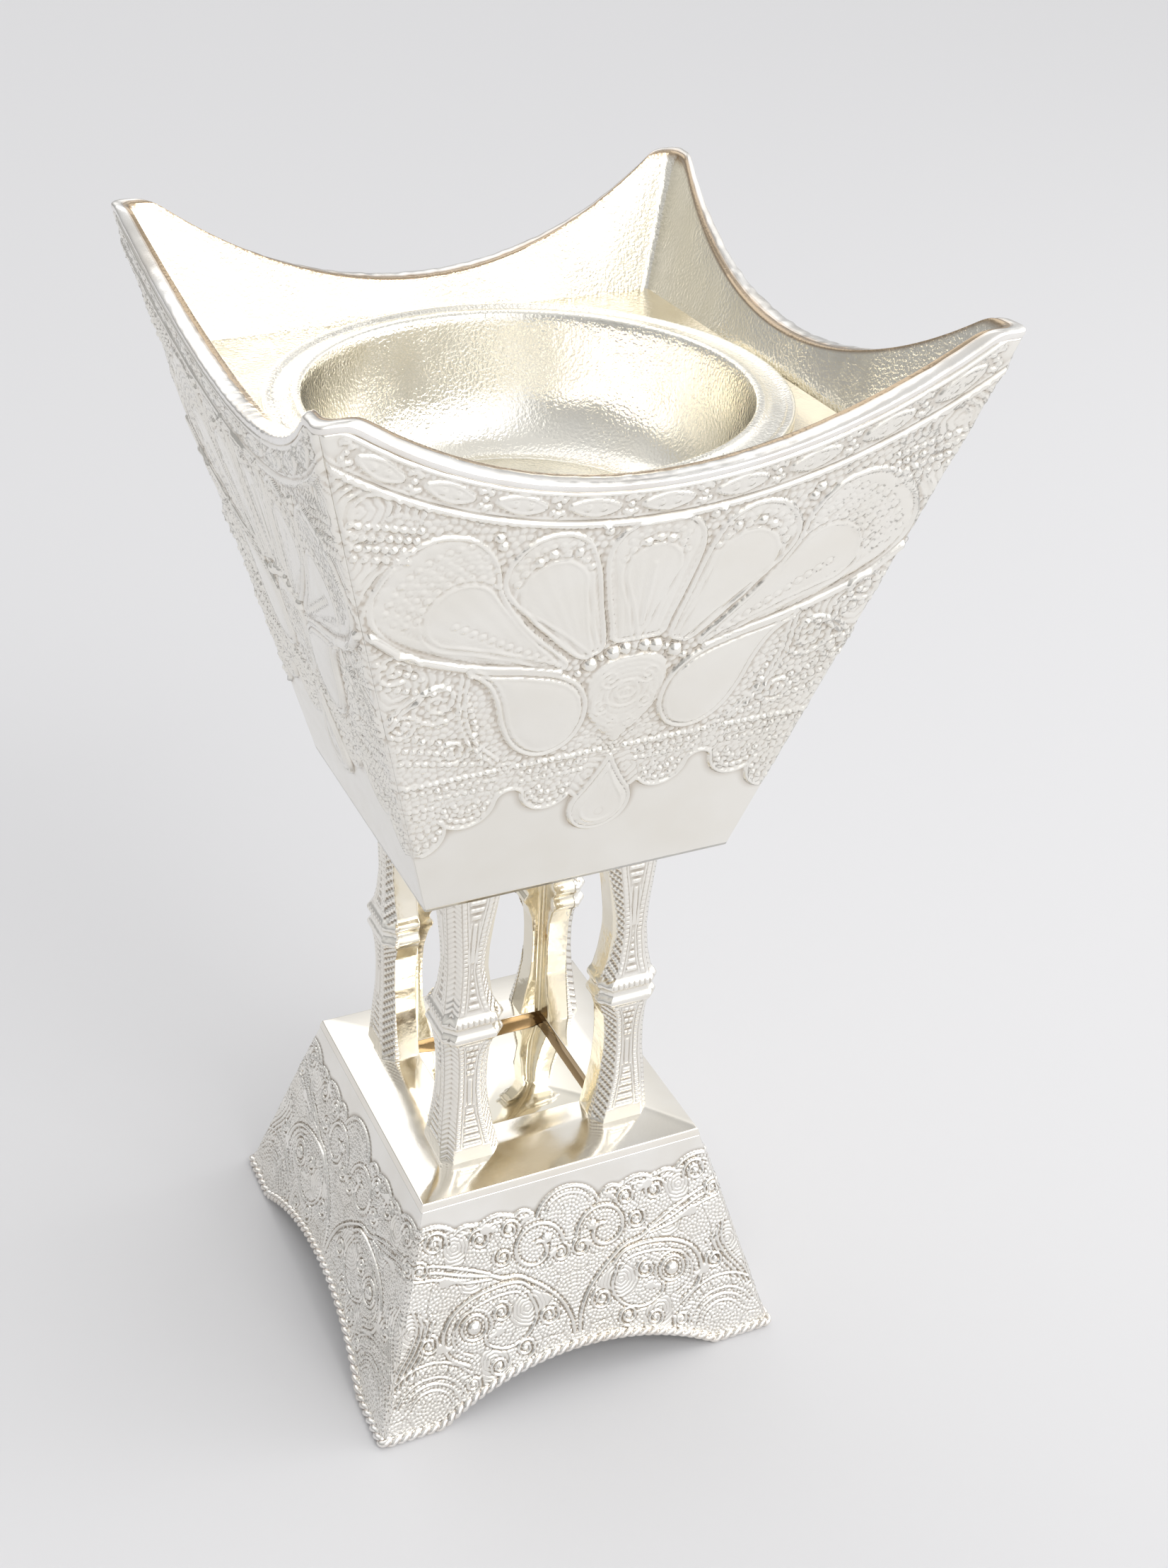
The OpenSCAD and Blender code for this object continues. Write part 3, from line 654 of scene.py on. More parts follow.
# ------------------------------------------------------------------ posts
PF = np.array([[34.7, 16.1], [38, 15.8], [42, 15.5], [46, 15.15], [50, 15.05], [53, 15.15], [55.6, 15.45], [56.2, 16], [57, 16], [57.4, 15.5],
               [58.4, 15.5], [58.8, 16], [59.6, 16], [60.2, 15.4], [63, 14.9], [67, 14.6], [71, 14.7], [75, 14.95], [79, 15.2], [83.5, 15.6]])
PE = np.array([[34.7, 7], [37, 7.5], [40, 8.1], [43, 8.6], [47, 8.8], [50, 8.75], [53, 8.5], [55.6, 7.7], [56.2, 7], [57, 7], [57.4, 7.6],
               [58.4, 7.6], [58.8, 7], [59.6, 7], [60.2, 7.8], [63, 8.5], [67, 9], [70, 8.85], [74, 8.3], [78, 7.6], [83.5, 6.9]])


def smooth_profile(P, z, soft=0.25):
    y = np.interp(z, P[:, 0], P[:, 1])
    k = np.exp(-0.5 * (np.arange(-12, 13) * (z[1] - z[0]) / soft)**2); k /= k.sum()
    yp = np.pad(y, 12, mode="edge")
    return np.convolve(yp, k, mode="valid")


def post_pattern(t, z, f):
    """Relief of a post's outer face. t: distance from its centre line, z: height, f: half width of the face there."""
    H = np.zeros(np.broadcast(t, z, f).shape)
    t = np.abs(t) + 0 * H; z = z + 0 * H
    hump = lambda d, w: np.sqrt(np.maximum(0, 1 - (d / w)**2))
    # raised edge line and a bead line on each side
    body = ((z > 37.2) & (z < 55.3)) | ((z > 60.6) & (z < 82.9))
    e = f - 0.42
    bead = hump(np.abs(t - e), 0.32) * hump(((z / 0.74) % 1 - 0.5) * 0.74, 0.36)
    H += np.where(body, 0.17 * bead, 0)
    H += np.where(body, 0.1 * hump(np.abs(t - (f - 0.95)), 0.13), 0)
    # stepped bars
    bars = [(82.1, 2.7), (80.9, 2.4), (79.7, 2.0), (78.5, 1.6), (77.3, 1.15), (76.1, 0.7),
            (67.2, 0.6), (66.1, 1.0), (65.0, 1.4), (63.9, 1.8), (62.7, 2.2), (61.5, 2.6),
            (43.6, 0.6), (42.5, 1.0), (41.4, 1.4), (40.2, 1.9), (39.0, 2.3), (37.8, 2.7)]
    for zc, hw in bars:
        hw = np.minimum(hw, f - 1.15)
        b = hump(np.abs(z - zc), 0.36) * np.clip((hw - t) / 0.2, 0, 1)
        H = np.maximum(H, 0.2 * b * (0.86 + 0.14 * np.cos(t * 2 * np.pi / 0.7)))
    # pearl rows under the middle band
    for zc, hw in ((54.6, 2.3), (53.5, 2.0), (52.4, 1.6), (51.3, 1.15), (50.2, 0.6)):
        hw = np.minimum(hw, f - 1.15)
        b = hump(np.abs(z - zc), 0.36) * hump(((t / 0.76 + (0.5 if int(zc) % 2 else 0)) % 1 - 0.5) * 0.76, 0.35) * (t < hw)
        H = np.maximum(H, 0.22 * b)
    # stems
    for z0, z1 in ((68.4, 75.2), (44.6, 49.2)):
        b = hump(t, 0.3) * np.clip((z - z0) / 0.3, 0, 1) * np.clip((z1 - z) / 0.3, 0, 1)
        H = np.maximum(H, 0.17 * b)
        b2 = hump(np.abs(t - 0.62), 0.12) * ((z > z0) & (z < z1))
        H = np.maximum(H, 0.08 * b2)
    # stipple beside the stems
    st = (((z > 41.0) & (z < 49.6)) | ((z > 68.0) & (z < 72.0))) & (t > 0.95) & (t < f - 1.1)
    H += np.where(st & (H < 0.03), 0.07 * np.maximum(0, np.sin(t * 11) * np.sin(z * 11)), 0)
    # ribs on the two rings of the middle band
    ring = ((z > 56.1) & (z < 57.1)) | ((z > 58.7) & (z < 59.7))
    H += np.where(ring & (z > 58), 0.06 * np.cos(t * 2 * np.pi / 0.8), 0)
    return H


def build_posts():
    NZ = 400
    z = np.linspace(34.7, 83.5, NZ)
    w = smooth_profile(PF, z); e = smooth_profile(PE, z)
    inn = 13.8
    c = 1.5
    counts = [5, 16, 58, 16, 58, 16, 5]
    rows = []; hrows = []; nrows = []
    def seg(p, q, n, last=False):
        t = np.linspace(0, 1, n, endpoint=last)[:, None]
        return p + (q - p) * t
    S2 = math.sqrt(0.5)
    normals = [(-1, 0), (-S2, S2), (0, 1), (S2, S2), (1, 0), (S2, -S2), (0, -1)]
    for k in range(NZ):
        W, E, zz = w[k], e[k], z[k]
        d = max(0.0, inn - (W - 1.5))
        p = [np.array([E + d, inn]), np.array([E, max(W - 1.5, inn)]) if d == 0 else np.array([E + d, inn]), np.array([E + 1.5, W]), np.array([W - c, W])]
        if d > 0:
            p[1] = p[0] + np.array([1e-3, 1e-3])
        q = [v[::-1] for v in p[::-1]]
        pts = p + q
        f = (W - c - E - 1.5) / 2
        for s in range(7):
            a, b = pts[s], pts[s + 1]
            n = counts[s]
            L = np.hypot(*(b - a))
            P = seg(a, b, n, s == 6)
            t = np.linspace(0, L, n, endpoint=(s == 6))
            if s in (2, 4):
                h = post_pattern(t - L / 2, np.full(n, zz), np.full(n, f))
                h *= np.clip(t / 0.15, 0, 1) * np.clip((L - t) / 0.15, 0, 1)
            elif s in (1, 5):
                tt = t if s == 1 else L - t
                h = 0.10 * np.sin(2 * np.pi * (zz / 1.15 + tt / 1.6)) + 0.04 * np.sin(2 * np.pi * (zz / 0.57 - tt / 0.9))
                h *= np.clip(t / 0.2, 0, 1) * np.clip((L - t) / 0.2, 0, 1)
                if 56 < zz < 59.8 or zz < 35.6:
                    h *= 0.25
            elif s == 3:
                m = t - L / 2
                h = 0.09 * np.abs(np.sin(math.pi * (zz / 0.85 + np.abs(m) / 1.1))) * (np.abs(m) < L / 2 - 0.12) - 0.05 * np.exp(-(m / 0.16)**2)
                if 57.2 < zz < 58.6:
                    h *= 0.2
            else:
                h = 0.05 * np.sin(2 * np.pi * zz / 0.7) * np.ones(n)
            if zz < 35.3 or zz > 83.1:
                h = h * 0.1
            rows.append(P); hrows.append(h); nrows.append(np.tile(np.array(normals[s]), (n, 1)))
    nc = sum(counts)
    P = np.vstack(rows).reshape(NZ, nc, 2); Hh = np.concatenate(hrows).reshape(NZ, nc); N = np.vstack(nrows).reshape(NZ, nc, 2)
    # Painted shade: high in the hollows of the post's relief
    shade_amount = np.clip((blur(Hh, 3) - Hh) * 9, -1, 1)
    Q = P + N * Hh[..., None]
    V = np.concatenate([Q, np.broadcast_to(z[:, None, None], (NZ, nc, 1))], -1).reshape(-1, 3)
    F = grid_faces(NZ, nc, flip=True)
    # inner faces: one vertex per row at the inner corner
    base = NZ * nc
    inner = np.c_[np.full(NZ, inn), np.full(NZ, inn), z]
    for k in range(NZ - 1):
        a, b = k * nc, (k + 1) * nc
        i, j = base + k, base + k + 1
        F.append([a, i, j, b][::-1]); F.append([i, a + nc - 1, b + nc - 1, j][::-1])
    F.append([base] + list(range(0, nc)))
    F.append([base + NZ - 1] + list(range((NZ - 1) * nc, NZ * nc))[::-1])
    V = np.vstack([V, inner]) * MM
    at = np.r_[shade_amount.reshape(-1), np.zeros(NZ)]
    out = {}
    for name, sx, sy in (("front_left", -1, -1), ("front_right", 1, -1), ("back_left", -1, 1), ("back_right", 1, 1)):
        W = V * np.array([sx, sy, 1])
        G = F if sx * sy > 0 else [f[::-1] for f in F]
        ob = new_mesh("cast_post_" + name, W, G, attrs={"painted_shade": at})
        out[name] = ob
    # make every normal point outwards
    for ob in out.values():
        bm = bmesh.new(); bm.from_mesh(ob.data); bmesh.ops.recalc_face_normals(bm, faces=bm.faces); bm.to_mesh(ob.data); bm.free()
    return out


def build_backings():
    """Plain inner sheets, with a narrow raised fold near the inner corner."""
    out = {}
    NZ = 220
    z = np.linspace(35.16, 83.5, NZ)
    ez = smooth_profile(PE, z) + 0.12
    for name, sx, sy in (("front_left", -1, -1), ("front_right", 1, -1), ("back_left", -1, 1), ("back_right", 1, 1)):
        half_plan = [(7.3, 13.8), (7.3, 10.75), (7.38, 10.57), (7.55, 10.52), (9.35, 10.52), (9.55, 10.44), (9.75, 10.42), (10.0, 10.45), (10.2, 10.52)]
        n = 2 * len(half_plan) + 2
        V = []
        for k in range(NZ):
            t = (ez[k] - 7.3)
            h = [(x + t * max(0.0, 1 - (x - 7.3) / 2.0), y) for x, y in half_plan]
            V += [(x, y, z[k]) for x, y in h] + [(10.42, 10.42, z[k])] + [(y, x, z[k]) for x, y in h[::-1]] + [(13.8, 13.8, z[k])]
        V = np.array(V)
        F = grid_faces(NZ, n, wrap=True)
        F.append(list(range(n))[::-1]); F.append(list(range((NZ - 1) * n, NZ * n)))
        W = V * np.array([sx, sy, 1]) * MM
        ob = new_mesh("inner_sheet_" + name, W, F)
        bm = bmesh.new(); bm.from_mesh(ob.data); bmesh.ops.recalc_face_normals(bm, faces=bm.faces); bm.to_mesh(ob.data); bm.free()
        ob.data.set_sharp_from_angle(angle=math.radians(50))
        out[name] = ob
    return out


# ------------------------------------------------------------------ liner with its rolled rim
def build_liner():
    NU = 201
    u = np.linspace(-1, 1, NU)
    zt = np.full(NU, 150.0)
    for _ in range(80):
        zt = 0.5 * zt + 0.5 * rim_z(u * bowl_at(zt))
    # keep the mitres level: the horn tip
    rows = []
    hin, hout = liner_at, bowl_at
    def pt(q, z, proud=0.0):
        h = hin(z) + q * (hout(z) - hin(z)) + proud
        return np.stack([u * h, -h, z], -1)
    for v in np.linspace(0, 1, 30):
        rows.append(pt(0.0, (TRAYZ - 1.0) + v * (zt - 0.42 - (TRAYZ - 1.0))))
    rows.append(pt(0.03, zt - 0.26)); rows.append(pt(0.12, zt - 0.18)); rows.append(pt(0.3, zt - 0.17)); rows.append(pt(0.5, zt - 0.3)); rows.append(pt(0.6, zt - 0.8))
    for v in np.linspace(0, 1, 8)[1:]:
        rows.append(pt(0.6 - 0.3 * v, zt - 1.3 - v * (zt - 1.3 - (TRAYZ - 2.1))))
    # shelf under the tray
    rows.append(np.stack([u * 28.6, np.full(NU, -28.6), np.full(NU, TRAYZ - 2.1)], -1))
    rows.append(np.stack([u * 28.6, np.full(NU, -28.6), np.full(NU, TRAYZ - 1.0)], -1))
    G = np.array(rows)
    nr = len(G)
    V, F = [], []
    for k, (s, t) in enumerate(SIDES.items()):
        c, sn = math.cos(t), math.sin(t)
        P = G.reshape(-1, 3)
        P = np.c_[P[:, 0] * c - P[:, 1] * sn, P[:, 0] * sn + P[:, 1] * c, P[:, 2]]
        off = k * nr * NU
        V.append(P)
        F += grid_faces(nr, NU, off, flip=True)
        for j in range(NU - 1):
            a, b = off + (nr - 1) * NU + j, off + j
            F.append([a, b, b + 1, a + 1])
    # Painted shade: the top of the lining's wall and its roll at the rim are browned, a dark line along the inner edge
    # of the rim
    shade_rows = np.zeros((4, nr, NU), np.float32)
    shade_rows[:, 29:35] = 1.0; shade_rows[:, 28] = 0.35
    ob = new_mesh("bowl_lining", ease_corner(np.vstack(V), bowl_r) * MM, F, attrs={"painted_shade": shade_rows.reshape(-1)})
    bm = bmesh.new(); bm.from_mesh(ob.data)
    bmesh.ops.remove_doubles(bm, verts=bm.verts, dist=2e-6)
    bmesh.ops.recalc_face_normals(bm, faces=bm.faces)
    bm.to_mesh(ob.data); bm.free()
    ob.data.polygons.foreach_set("use_smooth", np.ones(len(ob.data.polygons), bool))
    ob.data.set_sharp_from_angle(angle=math.radians(38))
    return ob


def build_hem():
    """The bowl's own sheet turned over at the rim: a narrow rounded strip, a little uneven."""
    NU = 281
    u = np.linspace(-1, 1, NU)
    zt = np.full(NU, 150.0)
    for _ in range(80):
        zt = 0.5 * zt + 0.5 * rim_z(u * bowl_at(zt))
    prof = []
    for ph in np.radians(np.linspace(-35, 90, 12)):
        prof.append((0.62 - 0.42 * math.cos(ph), -0.34 + 0.34 * math.sin(ph), 0.0))
    for ph in np.radians(np.linspace(90, 0, 9)[1:]):
        prof.append((0.66 + 0.42 * math.cos(ph), -0.55 + 0.55 * math.sin(ph), 0.0))
    prof += [(1.09, -0.75, 0.0), (1.085, -0.95, 0.0), (1.06, -1.08, 0.0), (1.0, -1.13, 0.0), (0.85, -1.12, 0.0), (0.7, -1.0, 0.0), (0.45, -0.7, 0.0)]
    V, F = [], []
    nr = len(prof)
    r = np.random.RandomState(11)
    for k, (s, t) in enumerate(SIDES.items()):
        x = u * 39.0
        wob = np.zeros(NU)
        for f in (0.35, 0.8, 1.7, 2.9):
            wob += r.uniform(0.02, 0.05) * np.sin(x * f + r.uniform(0, 6.28))
        wob *= np.clip((1 - np.abs(u)) * 12, 0, 1)
        G = []
        for q, dz, _ in prof:
            z = zt + dz + 0.6 * wob * (1 if dz > -0.9 else 0.4) - 0.04
            h = liner_at(z) + q * (bowl_at(z) - liner_at(z)) + (0.5 * wob if q > 0.9 else 0)
            G.append(np.stack([u * h, -h, z], -1))
        c, sn = math.cos(t), math.sin(t)
        P = np.array(G).reshape(-1, 3)
        P = np.c_[P[:, 0] * c - P[:, 1] * sn, P[:, 0] * sn + P[:, 1] * c, P[:, 2]]
        off = k * nr * NU
        V.append(P)
        F += grid_faces(nr, NU, off, flip=True)
        for j in range(NU - 1):
            a, b = off + (nr - 1) * NU + j, off + j
            F.append([a, b, b + 1, a + 1])
    # Painted shade: brown on the inner side of the fold, a dark line along the inner edge of the rim, and lighter
    # brown on its underside where it meets the side panels
    shade_rows = np.zeros((4, nr, NU), np.float32)
    for i, (q, dz, _) in enumerate(prof):
        shade_rows[:, i] = 1.0 if (q < 0.3 and i < 8) else 0.5 if (q < 0.45 and i < 10) else 0.45 if dz < -1.0 else 0.0
    ob = new_mesh("rim_fold", ease_corner(np.vstack(V), bowl_r) * MM, F, attrs={"painted_shade": shade_rows.reshape(-1)})
    bm = bmesh.new(); bm.from_mesh(ob.data)
    bmesh.ops.remove_doubles(bm, verts=bm.verts, dist=2e-6)
    bmesh.ops.recalc_face_normals(bm, faces=bm.faces)
    bm.to_mesh(ob.data); bm.free()
    ob.data.polygons.foreach_set("use_smooth", np.ones(len(ob.data.polygons), bool))
    return ob


def square_ring(name, prof, sub=1):
    """A closed profile of (half width, height) carried round a square."""
    prof = np.array(prof, float)
    n = len(prof)
    V, F = [], []
    u = np.linspace(-1, 1, sub + 1)[:-1]
    loop = [(a, -1) for a in u] + [(1, a) for a in u] + [(-a, 1) for a in u] + [(-1, -a) for a in u]
    m = len(loop)
    for h, z in prof:
        V += [(x * h, y * h, z) for x, y in loop]
    for i in range(n):
        for j in range(m):
            a = i * m + j; b = i * m + (j + 1) % m
            c = ((i + 1) % n) * m + (j + 1) % m; d = ((i + 1) % n) * m + j
            F.append([a, b, c, d])
    # Painted shade: on the deck frame (the only profile of more than 8 points), the walls of the recess round the
    # polished square, inside 11 mm and below 35.15 mm, get the full shade amount
    ob = new_mesh(name, np.array(V) * MM, F, attrs={"painted_shade": np.repeat([1.0 if (h < 11 and z < 35.15 and n > 8) else 0.0 for h, z in prof], m)})
    bm = bmesh.new(); bm.from_mesh(ob.data); bmesh.ops.recalc_face_normals(bm, faces=bm.faces); bm.to_mesh(ob.data); bm.free()
    ob.data.set_sharp_from_angle(angle=math.radians(30))
    return ob


def rounded(pts, r, n=4):
    """Rounds the corners of a closed polyline; r is one radius or a list."""
    P = np.array(pts, float); out = []
    m = len(P)
    for i in range(m):
        rr = r[i] if isinstance(r, (list, tuple)) else r
        a, b, c = P[i - 1], P[i], P[(i + 1) % m]
        if rr <= 0:
            out.append(b); continue
        u, v = (a - b), (c - b)
        lu, lv = np.linalg.norm(u), np.linalg.norm(v)
        k = min(rr, lu * 0.45, lv * 0.45)
        p, q = b + u / lu * k, b + v / lv * k
        for t in np.linspace(0, 1, n + 1):
            out.append((1 - t)**2 * p + 2 * t * (1 - t) * b + t * t * q)
    return np.array(out)


def build_tray():
    """Square plate with a round hole, slightly eased at the hole."""
    NA = 256
    a = (np.arange(NA) + 0.5) / NA * 2 * np.pi
    a = np.arange(NA) / NA * 2 * np.pi + math.pi / 4
    sq = 1 / np.maximum(np.abs(np.cos(a)), np.abs(np.sin(a)))
    rh = 26.7 + 0.8 + 0.45
    rings = []
    top, bot = TRAYZ, TRAYZ - 1.0
    ho, hb = TRAYH, liner_at(bot)
    rings.append((rh, bot, 0)); rings.append((hb, bot, 1)); rings.append((ho - 0.02, top - 0.05, 1)); rings.append((ho - 0.08, top, 1))
    for k in (0.75, 0.5, 0.25):
        rings.append((None, top, k))
    rings.append((rh + 0.25, top, 0)); rings.append((rh + 0.06, top - 0.06, 0)); rings.append((rh, top - 0.25, 0))
    V = []
    for r, z, k in rings:
        if r is None:
            rr = (1 - k) * (rh + 0.25) + k * (ho - 0.08) * sq
        else:
            rr = r * (sq if k == 1 else 1)
        V.append(np.c_[rr * np.cos(a), rr * np.sin(a), np.full(NA, z)])
    V = np.vstack(V)
    n = len(rings)
    F = []
    for i in range(n):
        for j in range(NA):
            p, q = i * NA + j, i * NA + (j + 1) % NA
            r_, s_ = ((i + 1) % n) * NA + (j + 1) % NA, ((i + 1) % n) * NA + j
            F.append([p, q, r_, s_])
    ob = new_mesh("bowl_tray", V * MM, F)
    bm = bmesh.new(); bm.from_mesh(ob.data); bmesh.ops.recalc_face_normals(bm, faces=bm.faces); bm.to_mesh(ob.data); bm.free()
    ob.data.set_sharp_from_angle(angle=math.radians(30))
    return ob


def build_pan():
    fz = TRAYZ + 0.1
    d = 15.75
    inner = spline([(0.01, TRAYZ - d), (10, TRAYZ - d), (18.2, TRAYZ - d), (19.5, TRAYZ - d + 0.12), (20.6, TRAYZ - d + 0.6), (22.2, TRAYZ - 13.9), (23.9, TRAYZ - 11.4), (25.2, TRAYZ - 8), (26.1, TRAYZ - 3), (26.55, fz - 0.1), (26.75, fz + 0.75)], n=8)
    lip = spline([(26.75, fz + 0.75), (26.95, fz + 1.18), (27.35, fz + 1.38), (27.85, fz + 1.3), (28.3, fz + 1.02), (28.9, fz + 0.82), (29.8, fz + 0.76), (30.2, fz + 0.82), (30.6, fz + 1.02), (31.05, fz + 1.12), (31.4, fz + 0.98), (31.5, fz + 0.6), (31.45, fz + 0.06)], n=6)
    outer = np.array([(31.2, fz), (27.9, fz), (27.6, fz - 0.25), (27.45, fz - 1), (26.95, TRAYZ - 3.2), (25.95, TRAYZ - 8.3), (24.6, TRAYZ - 11.9), (22.9, TRAYZ - 14.4), (21.2, TRAYZ - 15.8), (19.7, TRAYZ - 16.5), (0.01, TRAYZ - 16.55)])
    prof = np.vstack([inner[:-1], lip, outer])
    NA = 288
    a = np.arange(NA) / NA * 2 * np.pi
    V = np.vstack([np.c_[r * np.cos(a), r * np.sin(a), np.full(NA, z)] for r, z in prof])
    n = len(prof)
    F = grid_faces(n, NA, wrap=True)
    F.append(list(range(NA))[::-1]); F.append([(n - 1) * NA + j for j in range(NA)])
    ob = new_mesh("charcoal_dish", V * MM, F)
    bm = bmesh.new(); bm.from_mesh(ob.data); bmesh.ops.recalc_face_normals(bm, faces=bm.faces); bm.to_mesh(ob.data); bm.free()
    ob.data.polygons.foreach_set("use_smooth", np.ones(len(ob.data.polygons), bool))
    return ob


def build_rope():
    """Two wires twisted together, laid along the lower edges as one closed length."""
    OUT = 0.18
    def side(t):
        x = np.linspace(-31.0, 31.0, 700)
        z = arch_z(x)
        k = np.exp(-0.5 * (np.arange(-16, 17) / 7.0)**2); k /= k.sum()
        z = np.convolve(np.pad(z, 16, mode="edge"), k, mode="valid")
        z = np.maximum(z + 0.6, 0.72)
        y = -(foot_at(z) + OUT)
        xx = np.clip(x * (foot_at(0.72) + OUT) / 31.0, y, -y)
        c, sn = math.cos(t), math.sin(t)
        return np.c_[xx * c - y * sn, xx * sn + y * c, z][:-1]
    P = np.vstack([side(t) for t in (0, math.pi / 2, math.pi, -math.pi / 2)])
    P = ease_corner(P, lambda z: 0.8 + 0 * z)
    Q = np.vstack([P, P[:1]])
    d = np.r_[0, np.cumsum(np.linalg.norm(np.diff(Q, axis=0), axis=1))]
    N = 2400
    s = np.linspace(0, d[-1], N, endpoint=False)
    C = np.stack([np.interp(s, d, Q[:, k]) for k in range(3)], 1)
    T = np.roll(C, -3, 0) - np.roll(C, 3, 0); T /= np.linalg.norm(T, axis=1)[:, None]
    A = np.cross(T, np.array([0, 0, 1.0])); A /= np.linalg.norm(A, axis=1)[:, None]
    B = np.cross(A, T)
    M = 20
    ph = np.arange(M) / M * 2 * np.pi
    turns = round(d[-1] / 2.9)
    tw = s / d[-1] * 2 * np.pi * turns
    r = 0.76 * (0.50 + 0.50 * np.abs(np.cos(ph[None, :] - tw[:, None]))**0.8)
    V = C[:, None, :] + A[:, None, :] * (np.cos(ph) * r)[..., None] + B[:, None, :] * (np.sin(ph) * r)[..., None]
    V = V.reshape(-1, 3)
    V[:, 2] = np.maximum(V[:, 2], 0.02)
    # Painted shade: brown in the grooves between the twisted wires, where the radius is small
    shade_amount = np.clip((0.62 - r) * 3.2, 0, 1).reshape(-1)
    i = np.arange(N)[:, None]; j = np.arange(M)[None, :]
    F = np.stack([i * M + j, i * M + (j + 1) % M, ((i + 1) % N) * M + (j + 1) % M, ((i + 1) % N) * M + j], -1).reshape(-1, 4).tolist()
    ob = new_mesh("rope_wire", V * MM, F, attrs={"painted_shade": shade_amount})
    bm = bmesh.new(); bm.from_mesh(ob.data); bmesh.ops.recalc_face_normals(bm, faces=bm.faces); bm.to_mesh(ob.data); bm.free()
    ob.data.polygons.foreach_set("use_smooth", np.ones(len(ob.data.polygons), bool))
    return ob


# ------------------------------------------------------------------ materials
def nodes_of(m):
    m.use_nodes = True
    nt = m.node_tree
    for n in list(nt.nodes):
        nt.nodes.remove(n)
    out = nt.nodes.new("ShaderNodeOutputMaterial")
    b = nt.nodes.new("ShaderNodeBsdfPrincipled")
    nt.links.new(b.outputs[0], out.inputs[0])
    return nt, b


def metal(name, light, dark, rough=0.28, rough_var=0.08, painted_shade=0.0, shade_col=(0.28, 0.2, 0.14), grain=0.5, grain_mm=0.5, fine=0.1, fine_mm=0.12, mottling=8.0):
    """Plated metal: base colour drifting between two tones, a brown painted shade mixed in by a per-vertex amount, an
    orange-peel grain and a finer polish grain.
    """
    m = bpy.data.materials.new(name)
    nt, b = nodes_of(m)
    N = nt.nodes.new; L = nt.links.new
    tc = N("ShaderNodeTexCoord")
    b.inputs["Metallic"].default_value = 1.0
    n1 = N("ShaderNodeTexNoise"); n1.inputs["Scale"].default_value = 1000 / mottling; n1.inputs["Detail"].default_value = 4
    L(tc.outputs["Object"], n1.inputs["Vector"])
    mix = N("ShaderNodeMix"); mix.data_type = "RGBA"
    mix.inputs["A"].default_value = (*light, 1); mix.inputs["B"].default_value = (*dark, 1)
    ramp = N("ShaderNodeMapRange"); ramp.inputs["From Min"].default_value = 0.35; ramp.inputs["From Max"].default_value = 0.75
    L(n1.outputs["Fac"], ramp.inputs["Value"]); L(ramp.outputs[0], mix.inputs["Factor"])
    col = mix.outputs["Result"]
    # painted shade: the brown is mixed in by each vertex's painted-shade amount
    if painted_shade > 0:
        at = N("ShaderNodeAttribute"); at.attribute_name = "painted_shade"
        mr = N("ShaderNodeMapRange"); mr.inputs["From Min"].default_value = 0.12; mr.inputs["From Max"].default_value = 0.9; mr.inputs["To Max"].default_value = painted_shade
        L(at.outputs["Fac"], mr.inputs["Value"])
        mx = N("ShaderNodeMix"); mx.data_type = "RGBA"; mx.inputs["B"].default_value = (*shade_col, 1)
        L(col, mx.inputs["A"]); L(mr.outputs[0], mx.inputs["Factor"])
        col = mx.outputs["Result"]
    L(col, b.inputs["Base Color"])
    n2 = N("ShaderNodeTexNoise"); n2.inputs["Scale"].default_value = 1000 / (mottling * 0.35); n2.inputs["Detail"].default_value = 5
    L(tc.outputs["Object"], n2.inputs["Vector"])
    rr = N("ShaderNodeMapRange"); rr.inputs["To Min"].default_value = max(0.02, rough - rough_var); rr.inputs["To Max"].default_value = rough + rough_var
    rr.inputs["From Min"].default_value = 0.3; rr.inputs["From Max"].default_value = 0.7
    L(n2.outputs["Fac"], rr.inputs["Value"]); L(rr.outputs[0], b.inputs["Roughness"])
    bump = None
    if grain > 0:
        n3 = N("ShaderNodeTexNoise"); n3.inputs["Scale"].default_value = 1000 / grain_mm; n3.inputs["Detail"].default_value = 1.5
        L(tc.outputs["Object"], n3.inputs["Vector"])
        # grain comes and goes across the surface
        n5 = N("ShaderNodeTexNoise"); n5.inputs["Scale"].default_value = 1000 / 9.0
        L(tc.outputs["Object"], n5.inputs["Vector"])
        mk = N("ShaderNodeMapRange"); mk.inputs["From Min"].default_value = 0.38; mk.inputs["From Max"].default_value = 0.62; mk.inputs["To Min"].default_value = 0.35
        L(n5.outputs["Fac"], mk.inputs["Value"])
        mu = N("ShaderNodeMath"); mu.operation = "MULTIPLY"
        L(n3.outputs["Fac"], mu.inputs[0]); L(mk.outputs[0], mu.inputs[1])
        bp = N("ShaderNodeBump"); bp.inputs["Strength"].default_value = 1.0; bp.inputs["Distance"].default_value = grain * MM
        L(mu.outputs[0], bp.inputs["Height"])
        bump = bp
    if fine > 0:
        n4 = N("ShaderNodeTexNoise"); n4.inputs["Scale"].default_value = 1000 / fine_mm; n4.inputs["Detail"].default_value = 2
        L(tc.outputs["Object"], n4.inputs["Vector"])
        bf = N("ShaderNodeBump"); bf.inputs["Strength"].default_value = 1.0; bf.inputs["Distance"].default_value = fine * MM
        L(n4.outputs["Fac"], bf.inputs["Height"])
        if bump:
            L(bump.outputs[0], bf.inputs["Normal"])
        bump = bf
    if bump:
        L(bump.outputs[0], b.inputs["Normal"])
    return m
